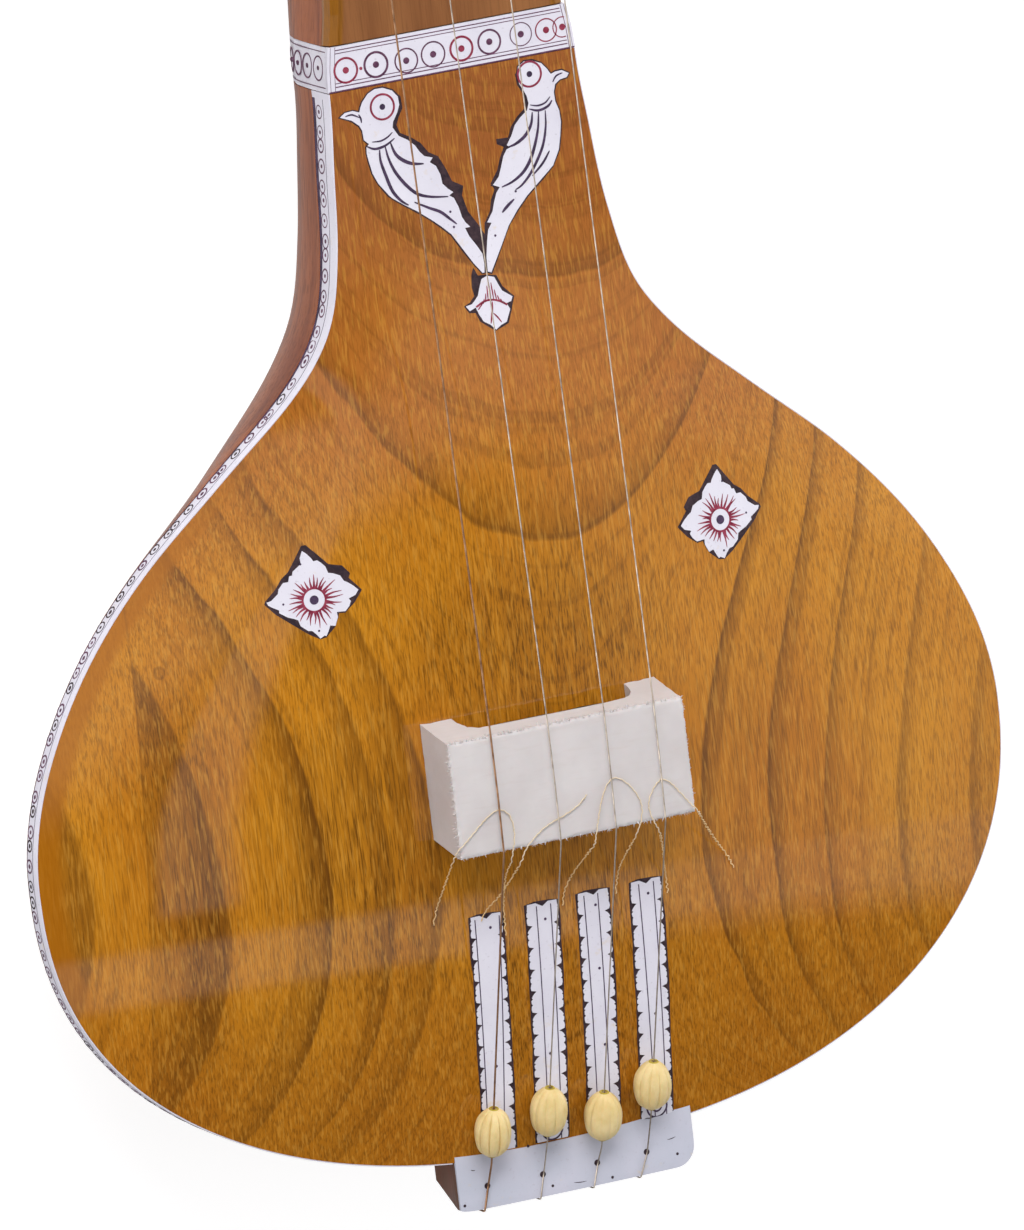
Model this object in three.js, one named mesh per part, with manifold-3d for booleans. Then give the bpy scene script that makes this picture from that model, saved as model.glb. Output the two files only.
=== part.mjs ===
// A four-string tanpura with a shallow wooden bowl, lying on its back.
// Millimetres: +Z is up out of the soundboard and +Y runs along the neck to the head.
// Pieces are drawn with z = 0 at the face of the neck, then the whole is raised onto the flat of its back.
import * as THREE from 'three';
import { mergeVertices } from 'three/addons/utils/BufferGeometryUtils.js';
import Module from 'manifold-3d';

const wasm = await Module();
wasm.setup();

// Driving sizes of the body and neck
const bowlHalfWidth = 172.8;
const bowlToBand = 243;
const bowlToTail = 116.5;
const bowlDepth = 100;
const bandLength = 15;
const neckLength = 605;
const headLength = 180;
const capLength = 24;
const capRound = 2.5;
const neckHalfWidthLow = 40;
const neckHalfWidthHigh = 38.5;
const neckFlare = 4;
const neckFlareLength = 35;
const neckDepthLow = 56;
const neckDepthHigh = 45;

// Walls and plates
const shellWall = 7;
const shellFloor = 7;
const tabliThickness = 4;
const faceplateThickness = 5;
const faceplateRound = 3.5;
const celluloid = 1;
const bandRecess = 1.3;
const stripDepth = 1.2;
const stripThickness = 0.9;
const stripHeightBowl = 8;
const stripHeightThroat = 14;
const stripGrowStart = 90;
const stripGrowLength = 130;
const gap = 0.3;
const fineGap = 0.15;
const overrun = 2;

// Arch of the soundboard
const crownRise = 9;
const crownStart = 215;
const crownFull = 95;
const tailFall = 14;
const tailFallStart = 5;
const tailFallPower = 1.6;
const archDrop = 21.5;
const archPower = 2.2;
const archShares = [[0, 0], [0.24, 0], [0.36, 0.22], [0.48, 0.67], [0.6, 0.93], [0.75, 1], [1, 1]];
const flatSink = 3.6;
const flatLength = 48;

// Outline of the body: width gained over the neck, against the way from bowl to band
const outlineShares = [
  [0, 1], [0.1, 0.974], [0.2, 0.899], [0.3, 0.7825], [0.4, 0.617], [0.5, 0.404], [0.6, 0.196],
  [0.68, 0.086], [0.78, 0.036], [0.9, 0.013], [1, 0],
];
const tailPower = 2.29;
const upperShares = [
  0.93, 0.855, 0.782, 0.725, 0.68, 0.64, 0.6, 0.56, 0.52, 0.485, 0.453,
  0.42, 0.38, 0.335, 0.28, 0.22, 0.15, 0.075, 0,
];
const jointShare = 0.453;
const tailShares = [0.985, 0.95, 0.89, 0.8, 0.69, 0.57, 0.42];
const innerTailShares = [0.12, 0];
const shapeBlendShares = [0.41, 0.85];
const bowlPowers = [2.27, 1.09];
const throatPowers = [2.6, 2.6];
const neckPowers = [3.4, 3.4];
const curveSteps = 7;

// Tailpiece
const tailHalfWidth = 42.5;
const tailReach = 14.5;
const tailCornerRadius = 7;
const tailEndThickness = 3;
const tailDepth = 17;
const tailStraight = 6;
const tailLip = 5.5;
const tailLipDepth = 3.8;
const tailCornerGap = 0.75;
const stringHoleRadius = 1.2;
const stringHoleReach = 7;
const tailColumnShares = [-1, -0.965, -0.9, -0.83, -0.5, 0, 0.5, 0.83, 0.9, 0.965, 1];
const tailBlockFacet = 5;

// Bridge
const bridgeY = 12;
const bridgeWidth = 84;
const bridgeLength = 38.5;
const bridgeHeight = 21;
const bridgePlateThickness = 3;
const bridgeArch = 0.5;
const bridgeChamfer = 0.8;
const bridgeLean = 3.5;
const bridgeFoot = 11;
const bridgeDeck = 7;
const bridgeArchInset = 5;

// Strings, from the bronze one on the left to the right-hand steel one
const stringRadii = [0.35, 0.25, 0.25, 0.25];
const tailStringX = [-32.4, -12.6, 7, 25];
const edgeStringX = [-34.6, -14.6, 4.6, 21.6];
const bridgeRearX = [-27.6, -7.1, 12.7, 30.4];
const bridgeFrontX = [-27.1, -6.7, 13.5, 31.2];
const nutX = [-30.5, -10.6, 12.8, 34];
const guideX = [-29, -9.5, 12, 32];
const stringBend = 0.9;
const stringSides = 6;

// Beads
const beadLength = 17;
const beadRadius = 6.2;
const beadBore = 1.1;
const beadLift = 0.6;
const beadY = [-104.2, -101, -106.5, -99.6];
const beadTravel = 62;
const beadBackTravel = 3;
const beadSides = 20;
const beadRib = 0.07;
const beadProfileShares = [
  [-1, 0.36], [-0.9, 0.62], [-0.68, 0.86], [-0.3, 0.99], [0.1, 1], [0.5, 0.9], [0.8, 0.68], [0.94, 0.45],
  [1, 0.3],
];

// Cotton threads under the strings: routes chosen by hand, z above the neck's face
const threadRadius = 0.35;
const threadSides = 8;
const threadSteps = 20;
const threadRoutes = [
  [
    [-45.2, -31.6, 7.3], [-44, -26.5, 8.4], [-43.8, -19, 15.5], [-44.6, -11, 25], [-43.6, -4.4, 30.4],
    [-40, -1.6, 30.5], [-36.2, 1.6, 30.5], [-31.3, 5.3, 30.5], [-27.2, 6.8, 30.5], [-24.2, 4.9, 30.5],
    [-22.9, 1.2, 30.5], [-23, -3.6, 30.5], [-24, -7.6, 30.35], [-24.3, -11.4, 28.6], [-23.8, -16, 22.5],
    [-22.4, -21.6, 16], [-21, -27.5, 10.4], [-20.4, -33.7, 8], [-20.4, -39.8, 7.4],
  ],
  [
    [-28.6, -33.4, 7.7], [-26.5, -29.6, 9], [-24.4, -25.7, 13.7], [-22.6, -19.1, 21.4], [-21.2, -12.2, 29],
    [-19.6, -8.2, 30.35], [-16.4, -5, 30.5], [-12.4, -2.2, 30.5], [-8.6, -0.6, 30.5], [-5.4, 0.4, 30.5],
    [-2.2, 1.6, 30.5], [1.2, 3.4, 30.5], [4, 5.8, 30.5],
  ],
  [
    [0.4, -33.7, 8.2], [1.6, -28.6, 8.9], [2.8, -22.1, 15], [4.6, -15, 24], [5.4, -11.2, 29],
    [5.8, -7.8, 30.35], [7, -3.4, 30.5], [8.6, 1.8, 30.5], [10.8, 6.6, 30.5], [13.7, 9.4, 30.5],
    [17.2, 8.2, 30.5], [20.6, 4.4, 30.5], [22.8, -0.6, 30.5], [22.3, -5.6, 30.5], [21, -8.6, 30.3],
    [20.2, -12.4, 27.6], [19.8, -18, 20.6], [19.9, -23.6, 13.6], [20.4, -28.6, 8.9], [19.6, -33.6, 8.2],
  ],
  [
    [38.4, -37, 7.2], [38, -31, 8.2], [35.6, -25, 13.6], [32.6, -18.4, 20.8], [29, -11.9, 28.4],
    [27, -8.3, 30.3], [25.6, -4.6, 30.5], [25.5, -0.8, 30.5], [27.6, 3.2, 30.5], [30.8, 5.8, 30.5],
    [34, 4, 30.5], [37, 0.2, 30.5], [39.6, -3.4, 30.5], [42.2, -6.6, 30.4], [45, -10, 26.6],
    [49, -14.8, 20.8], [53.4, -19.8, 14.8], [57.8, -24.6, 9.4], [61.4, -29.2, 6.5], [63.3, -33.6, 5.8],
  ],
];

// Nut and string guide
const nutHalfWidth = 36;
const nutThickness = 5;
const nutHeight = 7;
const seatDepth = 1.7;
const notchHalfWidth = 0.6;
const notchDepth = 1;
const guideSetback = 16;
const guideThickness = 6;
const guideHeight = 9;
const guideHoleHeight = 4.9;
const guideHoleRadius = 1.2;
const guideDrop = 0.4;

// Pegs: the outer strings go to pegs through the sides, the middle ones to pegs through the face
const nearPegFromNut = 70;
const farPegFromNut = 102;
const facePegFromNut = 142;
const sidePegs = [
  { string: 0, side: -1, fromNut: nearPegFromNut },
  { string: 3, side: 1, fromNut: farPegFromNut },
];
const facePegs = [
  { string: 1, side: -1, fromNut: facePegFromNut },
  { string: 2, side: 1, fromNut: facePegFromNut },
];
const sidePegDepth = 22;
const facePegX = 18.5;
const pegShankRadius = 5;
const pegTipRadius = 4;
const pegHeadLength = 36;
const pegHeadRadius = 15.5;
const pegCollarRadius = 8;
const pegStandOff = 9.5;
const pegBlindDepth = 4;
const pegSides = 14;
const pegProfileShares = [
  [0, 0.52], [0.05, 0.55], [0.1, 0.42], [0.16, 0.46], [0.24, 0.72], [0.38, 0.95], [0.52, 1],
  [0.66, 0.93], [0.78, 0.7], [0.84, 0.42], [0.88, 0.26], [0.93, 0.3], [0.98, 0.2],
];
const windingTurns = 5;
const windingPitch = 1.1;
const windingMargin = 1.8;
const windingStepsPerTurn = 14;
const windingSides = 5;
const slotHalfWidth = 5;
const slotFront = 1;
const slotBack = 14;

// Tail pins
const pinRadius = 1.1;
const pinHeadRadius = 2.2;
const pinHeadThickness = 1;
const pinLength = 9;
const pinGrip = 5;

// Inlays: outlines are shares of each inlay's own length and width
const inlayThickness = 1.2;
const pocketDepth = 1.5;
const inlayGap = 0.35;
const birdLength = 66;
const birdX = 1.2;
const birdTop = 241.6;
const birdShares = [
  [0.575, 0.1], [0.525, 0.15], [0.515, 0.22], [0.5, 0.28], [0.5, 0.36], [0.47, 0.45], [0.415, 0.54],
  [0.28, 0.64], [0.17, 0.73], [0.075, 0.85], [0.012, 0.995], [0.03, 0.75], [0.065, 0.67], [0.1, 0.58],
  [0.085, 0.56], [0.15, 0.48], [0.2, 0.38], [0.29, 0.27], [0.345, 0.22], [0.305, 0.07], [0.38, 0],
  [0.46, 0.01], [0.51, 0.06], [0.55, 0.085],
];
const lotusLength = 17.5;
const lotusTop = 174.6;
const lotusX = 1.6;
const lotusShares = [
  [0.06, 0], [0.15, 0.1], [0.2, 0.3], [0.46, 0.5], [0.3, 0.6], [0.27, 0.78], [0.04, 1], [-0.22, 0.68],
  [-0.44, 0.5], [-0.2, 0.34], [-0.2, 0.12], [-0.1, 0.02],
];
const rosetteX = 72.4;
const rosetteY = 81.4;
const rosetteReach = 16.5;
const rosetteLobes = 4;
const rosetteSteps = 32;
const rosetteTooth = 0.05;
const soundHoleRadius = 1.6;
const stripTop = -32;
const stripEnd = -107.8;
const stripTopX = [-26.2, -6.9, 11.7, 30.8];
const stripEndX = [-27.5, -7.9, 11.1, 30.3];
const stripHalfWidth = 5.3;
const scallopDepth = 1;
const scallops = 6;

const bandTop = bowlToBand + bandLength;
const flareEnd = bowlToBand + neckFlareLength;
const nutY = bandTop + neckLength;
const headEnd = nutY + headLength;
const guideY = nutY + guideSetback;
const jointY = bowlToBand * jointShare;
const bridgeTopZ = crownRise + bridgeHeight;
const ledge = tabliThickness + gap;

// Numbers and surfaces
const smooth = (u) => {
  const t = Math.min(Math.max(u, 0), 1);
  return t * t * (3 - 2 * t);
};
const mix = (a, b, u) => a + (b - a) * u;
const v3 = (x, y, z) => new THREE.Vector3(x, y, z);

// Value of a table of [place, value] pairs, on a smooth curve through them
function tableValue(table, u) {
  let i = 0;
  while (i < table.length - 2 && u > table[i + 1][0]) i += 1;
  const slope = (k) => {
    if (k === 0 || k === table.length - 1) return 0;
    return (table[k + 1][1] - table[k - 1][1]) / (table[k + 1][0] - table[k - 1][0]);
  };
  const [u0, s0] = table[i];
  const [u1, s1] = table[i + 1];
  const span = u1 - u0;
  const t = (u - u0) / span;
  const square = t * t;
  const cube = square * t;
  const ends = (2 * cube - 3 * square + 1) * s0 + (3 * square - 2 * cube) * s1;
  return ends + (cube - 2 * square + t) * span * slope(i) + (cube - square) * span * slope(i + 1);
}

function halfWidth(y) {
  if (y >= bowlToBand) {
    const flare = neckFlare * (1 - smooth((y - bowlToBand) / neckFlareLength));
    return mix(neckHalfWidthLow, neckHalfWidthHigh, (y - bowlToBand) / (headEnd - bowlToBand)) + flare;
  }
  return mix(neckHalfWidthLow + neckFlare, bowlHalfWidth, tableValue(outlineShares, y / bowlToBand));
}

function bodyDepth(y) {
  if (y >= bowlToBand) {
    return mix(neckDepthLow, neckDepthHigh, (y - bowlToBand) / (headEnd - bowlToBand));
  }
  return mix(bowlDepth + flatSink, neckDepthLow, smooth((y - flatLength) / (bowlToBand - flatLength)));
}

function crown(y) {
  const rise = crownRise * smooth((crownStart - y) / (crownStart - crownFull));
  const fall = Math.max(0, (-tailFallStart - y) / (bowlToTail - tailFallStart));
  return rise - tailFall * fall ** tailFallPower;
}

// Height of the soundboard and of the neck's face over the drawing plane
function faceZ(x, y) {
  const way = Math.min(Math.max(bowlToBand - y, 0) / bowlToBand, 1);
  const across = Math.abs(x) / halfWidth(Math.max(y, 0));
  return crown(y) - archDrop * tableValue(archShares, way) * across ** archPower;
}

function sectionPowers(y) {
  if (y >= bowlToBand) {
    const v = smooth((y - bowlToBand) / neckFlareLength);
    return throatPowers.map((power, i) => mix(power, neckPowers[i], v));
  }
  const [low, high] = shapeBlendShares;
  const u = smooth((y / bowlToBand - low) / (high - low));
  return bowlPowers.map((power, i) => mix(power, throatPowers[i], u));
}

function stripHeight(y) {
  return mix(stripHeightBowl, stripHeightThroat, smooth((y - stripGrowStart) / stripGrowLength));
}

// Stations along the right-hand rim. Each gives the rim moved inwards by a distance.
function upperStation(y) {
  const step = bowlToBand / 500;
  const slope = (halfWidth(y + step) - halfWidth(Math.max(y - step, 0))) / (2 * step);
  const stretch = Math.hypot(1, slope);
  return { y, spineY: y, inset: (d) => new THREE.Vector2(halfWidth(y) - d * stretch, y) };
}

function tailStation(share) {
  const x = bowlHalfWidth * share;
  const drop = (1 - share ** tailPower) ** (1 / tailPower);
  const outX = share ** (tailPower - 1) / bowlHalfWidth;
  const outY = -(drop ** (tailPower - 1)) / bowlToTail;
  const norm = Math.hypot(outX, outY);
  const inset = (d) => new THREE.Vector2(x - (outX * d) / norm, -bowlToTail * drop - (outY * d) / norm);
  return { y: -bowlToTail * drop, spineY: 0, inset };
}

const tailCornerShare = (tailHalfWidth + tailCornerGap) / bowlHalfWidth;
const bandStation = upperStation(bowlToBand - fineGap);
const upperStations = upperShares.map((share) => upperStation(share * bowlToBand));
const bowlStations = tailShares.map(tailStation);
const cornerStation = tailStation(tailCornerShare);
const innerTailStations = innerTailShares.map(tailStation);
const rimStations = [bandStation, ...upperStations, ...bowlStations, cornerStation];
const allStations = [...rimStations, ...innerTailStations];

// Geometry from rows of points
function capFaces(row, offset, forward) {
  const normal = v3(0, 0, 0);
  row.forEach((p, i) => {
    const q = row[(i + 1) % row.length];
    normal.add(v3((p.y - q.y) * (p.z + q.z), (p.z - q.z) * (p.x + q.x), (p.x - q.x) * (p.y + q.y)));
  });
  const size = [Math.abs(normal.x), Math.abs(normal.y), Math.abs(normal.z)];
  const drop = size.indexOf(Math.max(...size));
  const flat = row.map((p) => new THREE.Vector2(...p.toArray().filter((_, axis) => axis !== drop)));
  const whole = THREE.ShapeUtils.area(flat);
  return THREE.ShapeUtils.triangulateShape(flat, []).map((face) => {
    const area = THREE.ShapeUtils.area(face.map((i) => flat[i]));
    const along = area * whole > 0 === forward ? face : [...face].reverse();
    return along.map((i) => i + offset);
  });
}

// A closed solid whose neighbouring rows are joined. A looped row closes on itself.
// Rings wrap from the last row back to the first instead of being capped.
function rowsSolid(rows, { looped = true, ring = false } = {}) {
  const count = rows[0].length;
  const faces = [];
  const rowTotal = ring ? rows.length : rows.length - 1;
  const columnTotal = looped ? count : count - 1;
  for (let i = 0; i < rowTotal; i += 1) {
    for (let j = 0; j < columnTotal; j += 1) {
      const a = i * count + j;
      const b = i * count + ((j + 1) % count);
      const c = ((i + 1) % rows.length) * count + j;
      const d = ((i + 1) % rows.length) * count + ((j + 1) % count);
      faces.push([a, b, d], [a, d, c]);
    }
  }
  if (!ring) {
    faces.push(...capFaces(rows[0], 0, false));
    faces.push(...capFaces(rows[rows.length - 1], (rows.length - 1) * count, true));
  }
  return closedGeometry(rows.flat(), faces);
}

function closedGeometry(points, faces) {
  const geometry = new THREE.BufferGeometry();
  geometry.setAttribute('position', new THREE.Float32BufferAttribute(points.flatMap((p) => p.toArray()), 3));
  geometry.setIndex(faces.flat());
  const merged = mergeVertices(geometry);
  const index = merged.index.array;
  const kept = [];
  for (let i = 0; i < index.length; i += 3) {
    const [a, b, c] = index.slice(i, i + 3);
    if (a !== b && b !== c && c !== a) kept.push(a, b, c);
  }
  merged.setIndex(signedVolume(merged, kept) < 0 ? kept.reverse() : kept);
  return merged;
}

function signedVolume(geometry, index) {
  const at = (i) => new THREE.Vector3().fromBufferAttribute(geometry.attributes.position, i);
  let total = 0;
  for (let i = 0; i < index.length; i += 3) total += at(index[i]).dot(at(index[i + 1]).cross(at(index[i + 2])));
  return total;
}

function toManifold(geometry) {
  const bare = geometry.clone();
  bare.deleteAttribute('normal');
  bare.deleteAttribute('uv');
  const merged = mergeVertices(bare);
  return new wasm.Manifold(new wasm.Mesh({
    numProp: 3,
    vertProperties: new Float32Array(merged.attributes.position.array),
    triVerts: new Uint32Array(merged.index.array),
  }));
}

function fromManifold(solid) {
  const mesh = solid.getMesh();
  const geometry = new THREE.BufferGeometry();
  geometry.setAttribute('position', new THREE.Float32BufferAttribute(mesh.vertProperties, 3));
  geometry.setIndex([...mesh.triVerts]);
  return geometry;
}

function cut(geometry, tools) {
  return fromManifold(tools.reduce((left, tool) => left.subtract(toManifold(tool)), toManifold(geometry)));
}

const common = (a, b) => fromManifold(toManifold(a).intersect(toManifold(b)));

const mirrorX = (points) => points.map((p) => v3(-p.x, p.y, p.z));

// A full loop from its right-hand half, which starts and ends on the middle plane
function wholeLoop(half) {
  const inner = mirrorX(half).reverse();
  return [...half, ...inner.slice(1, -1)];
}

// Rod along X, Y or Z from its middle
function rod(radius, length, axis, centre, sides = pegSides) {
  const geometry = new THREE.CylinderGeometry(radius, radius, length, sides);
  if (axis === 'x') geometry.rotateZ(Math.PI / 2);
  if (axis === 'z') geometry.rotateX(Math.PI / 2);
  return geometry.translate(centre.x, centre.y, centre.z);
}

// Plate from an outline in XY, between two heights
function prism(outline, low, high) {
  const geometry = new THREE.ExtrudeGeometry(new THREE.Shape(outline), { depth: high - low, bevelEnabled: false });
  return geometry.translate(0, 0, low);
}

// Shell of the bowl and throat
function hollowCurve(rim, spineY, bend, bottom, lowest, powers) {
  const points = [];
  for (let i = curveSteps; i >= 0; i -= 1) {
    const angle = (i / curveSteps) * (Math.PI / 2);
    const out = i === curveSteps ? 0 : Math.cos(angle) ** (2 / powers[0]);
    const down = Math.sin(angle) ** (2 / powers[1]);
    const z = Math.max(mix(bend, bottom, down), lowest);
    points.push(v3(rim.x * out, mix(spineY, rim.y, out), z));
  }
  return points;
}

function shellHalf({ spineY, outer, rebated, inner, outerTop, innerTop, bend, recess = 0 }) {
  const depth = bodyDepth(spineY);
  const powers = sectionPowers(spineY);
  const innerCurve = hollowCurve(inner, spineY, bend, shellFloor - depth, shellFloor - bowlDepth, powers);
  return [
    ...hollowCurve(outer, spineY, bend, recess - depth, -bowlDepth, powers),
    v3(rebated.x, rebated.y, bend),
    v3(rebated.x, rebated.y, outerTop),
    v3(inner.x, inner.y, innerTop),
    ...innerCurve.reverse(),
  ];
}

function stationShellHalf(station) {
  const [outer, rebated, inner] = [0, stripDepth, shellWall].map(station.inset);
  return shellHalf({
    spineY: station.spineY,
    outer,
    rebated,
    inner,
    outerTop: faceZ(rebated.x, rebated.y) - ledge,
    innerTop: faceZ(inner.x, inner.y) - ledge,
    bend: faceZ(outer.x, outer.y) - stripHeight(outer.y) - gap,
  });
}

function tumbaGeometry() {
  const stations = allStations.filter((station) => station.y <= jointY);
  const right = stations.map(stationShellHalf);
  const left = right.slice(0, -1).map(mirrorX);
  return rowsSolid([...left, ...right.reverse()], { looped: false });
}

// Section of neck and throat above the strip: recess is how far the wood is cut back for the band
function neckHalf(y, recess, top) {
  const outer = new THREE.Vector2(halfWidth(y) - recess, y);
  const bend = -stripHeight(y) - gap - recess;
  const inner = new THREE.Vector2(halfWidth(y) - shellWall, y);
  return shellHalf({ spineY: y, outer, rebated: outer, inner, outerTop: top, innerTop: top, bend, recess });
}

function guluGeometry() {
  const stations = allStations.filter((station) => station.y >= jointY).reverse();
  const start = stationShellHalf(upperStation(jointY + gap));
  const rows = [start, ...stations.slice(1).map(stationShellHalf)];
  rows.push(neckHalf(bowlToBand, bandRecess, -bandRecess));
  rows.push(neckHalf(bowlToBand + bandLength / 2 - fineGap, bandRecess, -bandRecess));
  return rowsSolid(rows.map(wholeLoop));
}

function neckChannelGeometry() {
  const faceTop = -faceplateThickness - gap;
  const middle = bowlToBand + bandLength / 2 + fineGap;
  const rows = [
    neckHalf(middle, bandRecess, -bandRecess),
    neckHalf(bandTop - fineGap / 2, bandRecess, -bandRecess),
    ...[bandTop, mix(bandTop, flareEnd, 0.5), flareEnd, mix(bandTop, nutY, 0.5), nutY, headEnd]
      .map((y) => neckHalf(y, 0, faceTop)),
  ];
  return cut(rowsSolid(rows.map(wholeLoop)), pegHoles());
}

function heelBlockGeometry() {
  const row = (y, top) => {
    const rim = new THREE.Vector2(halfWidth(y) - shellWall - gap, y);
    const depth = bodyDepth(y) - shellFloor - gap;
    const powers = sectionPowers(y);
    const half = hollowCurve(rim, y, -stripHeight(y) - bandRecess, -depth, -bowlDepth, powers);
    return wholeLoop([...half, v3(rim.x, y, top), v3(0, y, top)]);
  };
  const low = bowlToBand - bandLength;
  const high = bandTop + bandLength;
  return rowsSolid([
    row(low, faceZ(0, low) - ledge),
    row(bowlToBand, faceZ(0, bowlToBand) - ledge),
    row(bowlToBand, -bandRecess),
    row(mix(bowlToBand, bandTop, 0.5), -bandRecess),
    row(bandTop, -bandRecess),
    row(bandTop, -faceplateThickness - gap),
    row(mix(bandTop, high, 0.5), -faceplateThickness - gap),
    row(high, -faceplateThickness - gap),
  ]);
}

// Soundboard, with pockets for its inlays
const tabliShares = [0, 0.2, 0.4, 0.6, 0.8, 1];

function tabliBlank() {
  const half = (station) => {
    const rim = station.inset(stripDepth);
    const top = tabliShares.map((share) => {
      const x = rim.x * share;
      const y = mix(station.spineY, rim.y, share);
      return v3(x, y, faceZ(x, y));
    });
    return [...top, ...top.map((p) => v3(p.x, p.y, p.z - tabliThickness)).reverse()];
  };
  const right = allStations.map(half);
  const left = right.slice(0, -1).map(mirrorX);
  return rowsSolid([...left, ...right.reverse()], { looped: false });
}

// Layer of the soundboard between two offsets from its face, over a rectangle
function faceLayer(box, low, high, cells) {
  const rows = [];
  for (let i = 0; i <= cells[1]; i += 1) {
    const y = mix(box.min.y, box.max.y, i / cells[1]);
    const top = [];
    for (let j = 0; j <= cells[0]; j += 1) {
      const x = mix(box.min.x, box.max.x, j / cells[0]);
      top.push(v3(x, y, faceZ(x, y)));
    }
    const lift = (offset) => top.map((p) => v3(p.x, p.y, p.z + offset));
    rows.push([...lift(high), ...lift(low).reverse()]);
  }
  return rowsSolid(rows);
}

// Outline moved outwards by a distance
function grown(outline, distance) {
  const sign = THREE.ShapeUtils.area(outline) > 0 ? 1 : -1;
  return outline.map((p, i) => {
    const before = outline[(i + outline.length - 1) % outline.length];
    const after = outline[(i + 1) % outline.length];
    const a = p.clone().sub(before).normalize();
    const b = after.clone().sub(p).normalize();
    const out = new THREE.Vector2(a.y + b.y, -a.x - b.x).normalize();
    const spread = Math.max(out.x * a.y - out.y * a.x, 0.5);
    return p.clone().addScaledVector(out, (sign * distance) / spread);
  });
}

function outlineBox(outline, margin) {
  return new THREE.Box2().setFromPoints(outline).expandByScalar(margin);
}

function inlayGeometry({ outline, cells }) {
  const layer = faceLayer(outlineBox(outline, overrun), -inlayThickness, 0, cells);
  return common(prism(outline, -bowlDepth, bowlDepth), layer);
}

function pocketGeometry({ outline, cells }) {
  const wide = grown(outline, inlayGap);
  const layer = faceLayer(outlineBox(wide, overrun), -pocketDepth, overrun, cells);
  return common(prism(wide, -bowlDepth, bowlDepth), layer);
}

const shareOutline = (shares, side, x, top, length) =>
  shares.map(([across, down]) => new THREE.Vector2(x + side * across * length, top - down * length));

function rosetteOutline(side) {
  const points = [];
  for (let i = 0; i < rosetteSteps; i += 1) {
    const angle = (i / rosetteSteps) * 2 * Math.PI;
    const lobe = Math.abs(Math.cos((angle * rosetteLobes) / 2));
    const tooth = i % 2 === 0 ? 1 : 1 - rosetteTooth;
    const reach = rosetteReach * (0.72 + 0.28 * lobe ** 1.5) * tooth;
    points.push(new THREE.Vector2(side * rosetteX + reach * Math.cos(angle), rosetteY + reach * Math.sin(angle)));
  }
  return points;
}

function inlayStripOutline(i) {
  const edge = (side) => {
    const points = [];
    for (let k = 0; k <= scallops * 2; k += 1) {
      const u = k / (scallops * 2);
      const reach = stripHalfWidth - (k % 2 === 0 ? scallopDepth : 0);
      points.push(new THREE.Vector2(mix(stripTopX[i], stripEndX[i], u) + side * reach, mix(stripTop, stripEnd, u)));
    }
    return points;
  };
  return [...edge(1), ...edge(-1).reverse()];
}

const inlays = {
  bird_left: { outline: shareOutline(birdShares, -1, birdX, birdTop, birdLength), cells: [3, 6] },
  bird_right: { outline: shareOutline(birdShares, 1, birdX, birdTop, birdLength), cells: [3, 6] },
  lotus: { outline: shareOutline(lotusShares, 1, lotusX, lotusTop, lotusLength), cells: [2, 2] },
  rosette_left: { outline: rosetteOutline(-1), cells: [3, 3] },
  rosette_right: { outline: rosetteOutline(1), cells: [3, 3] },
};
stripTopX.forEach((_, i) => {
  inlays[`inlay_strip_${i + 1}`] = { outline: inlayStripOutline(i), cells: [1, 8] };
});

function soundHole(side) {
  return rod(soundHoleRadius, bowlDepth / 2, 'z', v3(side * rosetteX, rosetteY, crownRise), 12);
}

// Room in the soundboard's edge for the lip of the tailpiece
function lipTool() {
  const half = tailHalfWidth + gap;
  const far = -bowlToTail - overrun;
  const near = tailColumnShares.map((share) => new THREE.Vector2(share * half, tailColumn(share).lip + gap));
  return prism([...near, new THREE.Vector2(half, far), new THREE.Vector2(-half, far)], -bowlDepth / 2, bowlDepth / 2);
}

function tabliGeometry() {
  const pockets = Object.values(inlays).map(pocketGeometry);
  return cut(tabliBlank(), [...pockets, lipTool(), soundHole(-1), soundHole(1)]);
}

// White trim along the rim
function rimTrim(side, section) {
  const rows = rimStations.map((station) => section(station));
  return rowsSolid(side > 0 ? rows : rows.map(mirrorX));
}

function stripSection(station) {
  const outer = station.inset(0);
  const inner = station.inset(stripThickness);
  const top = (p) => v3(p.x, p.y, faceZ(p.x, p.y));
  const bottom = faceZ(outer.x, outer.y) - stripHeight(outer.y);
  return [top(outer), v3(outer.x, outer.y, bottom), v3(inner.x, inner.y, bottom), top(inner)];
}

// Band round the joint of throat and neck
const bandRows = [0, 0.5, 1].map((u) => mix(bowlToBand + fineGap, bandTop - fineGap, u));

function bandFrontGeometry() {
  const right = bandRows.map((y) => new THREE.Vector2(halfWidth(y), y));
  const left = bandRows.map((y) => new THREE.Vector2(-halfWidth(y), y)).reverse();
  return prism([...right, ...left], -celluloid, 0);
}

function bandSideGeometry(side) {
  const row = (y) => {
    const powers = sectionPowers(y);
    const depth = bodyDepth(y);
    const layer = (inset) => {
      const rim = new THREE.Vector2(halfWidth(y) - inset, y);
      const points = hollowCurve(rim, y, -stripHeight(y) - gap - inset, inset - depth, -bowlDepth, powers);
      points[0].x = fineGap;
      return [...points, v3(rim.x, y, -celluloid - gap)];
    };
    const loop = [...layer(0), ...layer(celluloid).reverse()];
    return side > 0 ? loop : mirrorX(loop);
  };
  return rowsSolid(bandRows.map(row));
}

// Tailpiece
const tailTop = (x) => faceZ(x, tailLip - bowlToTail);

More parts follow.
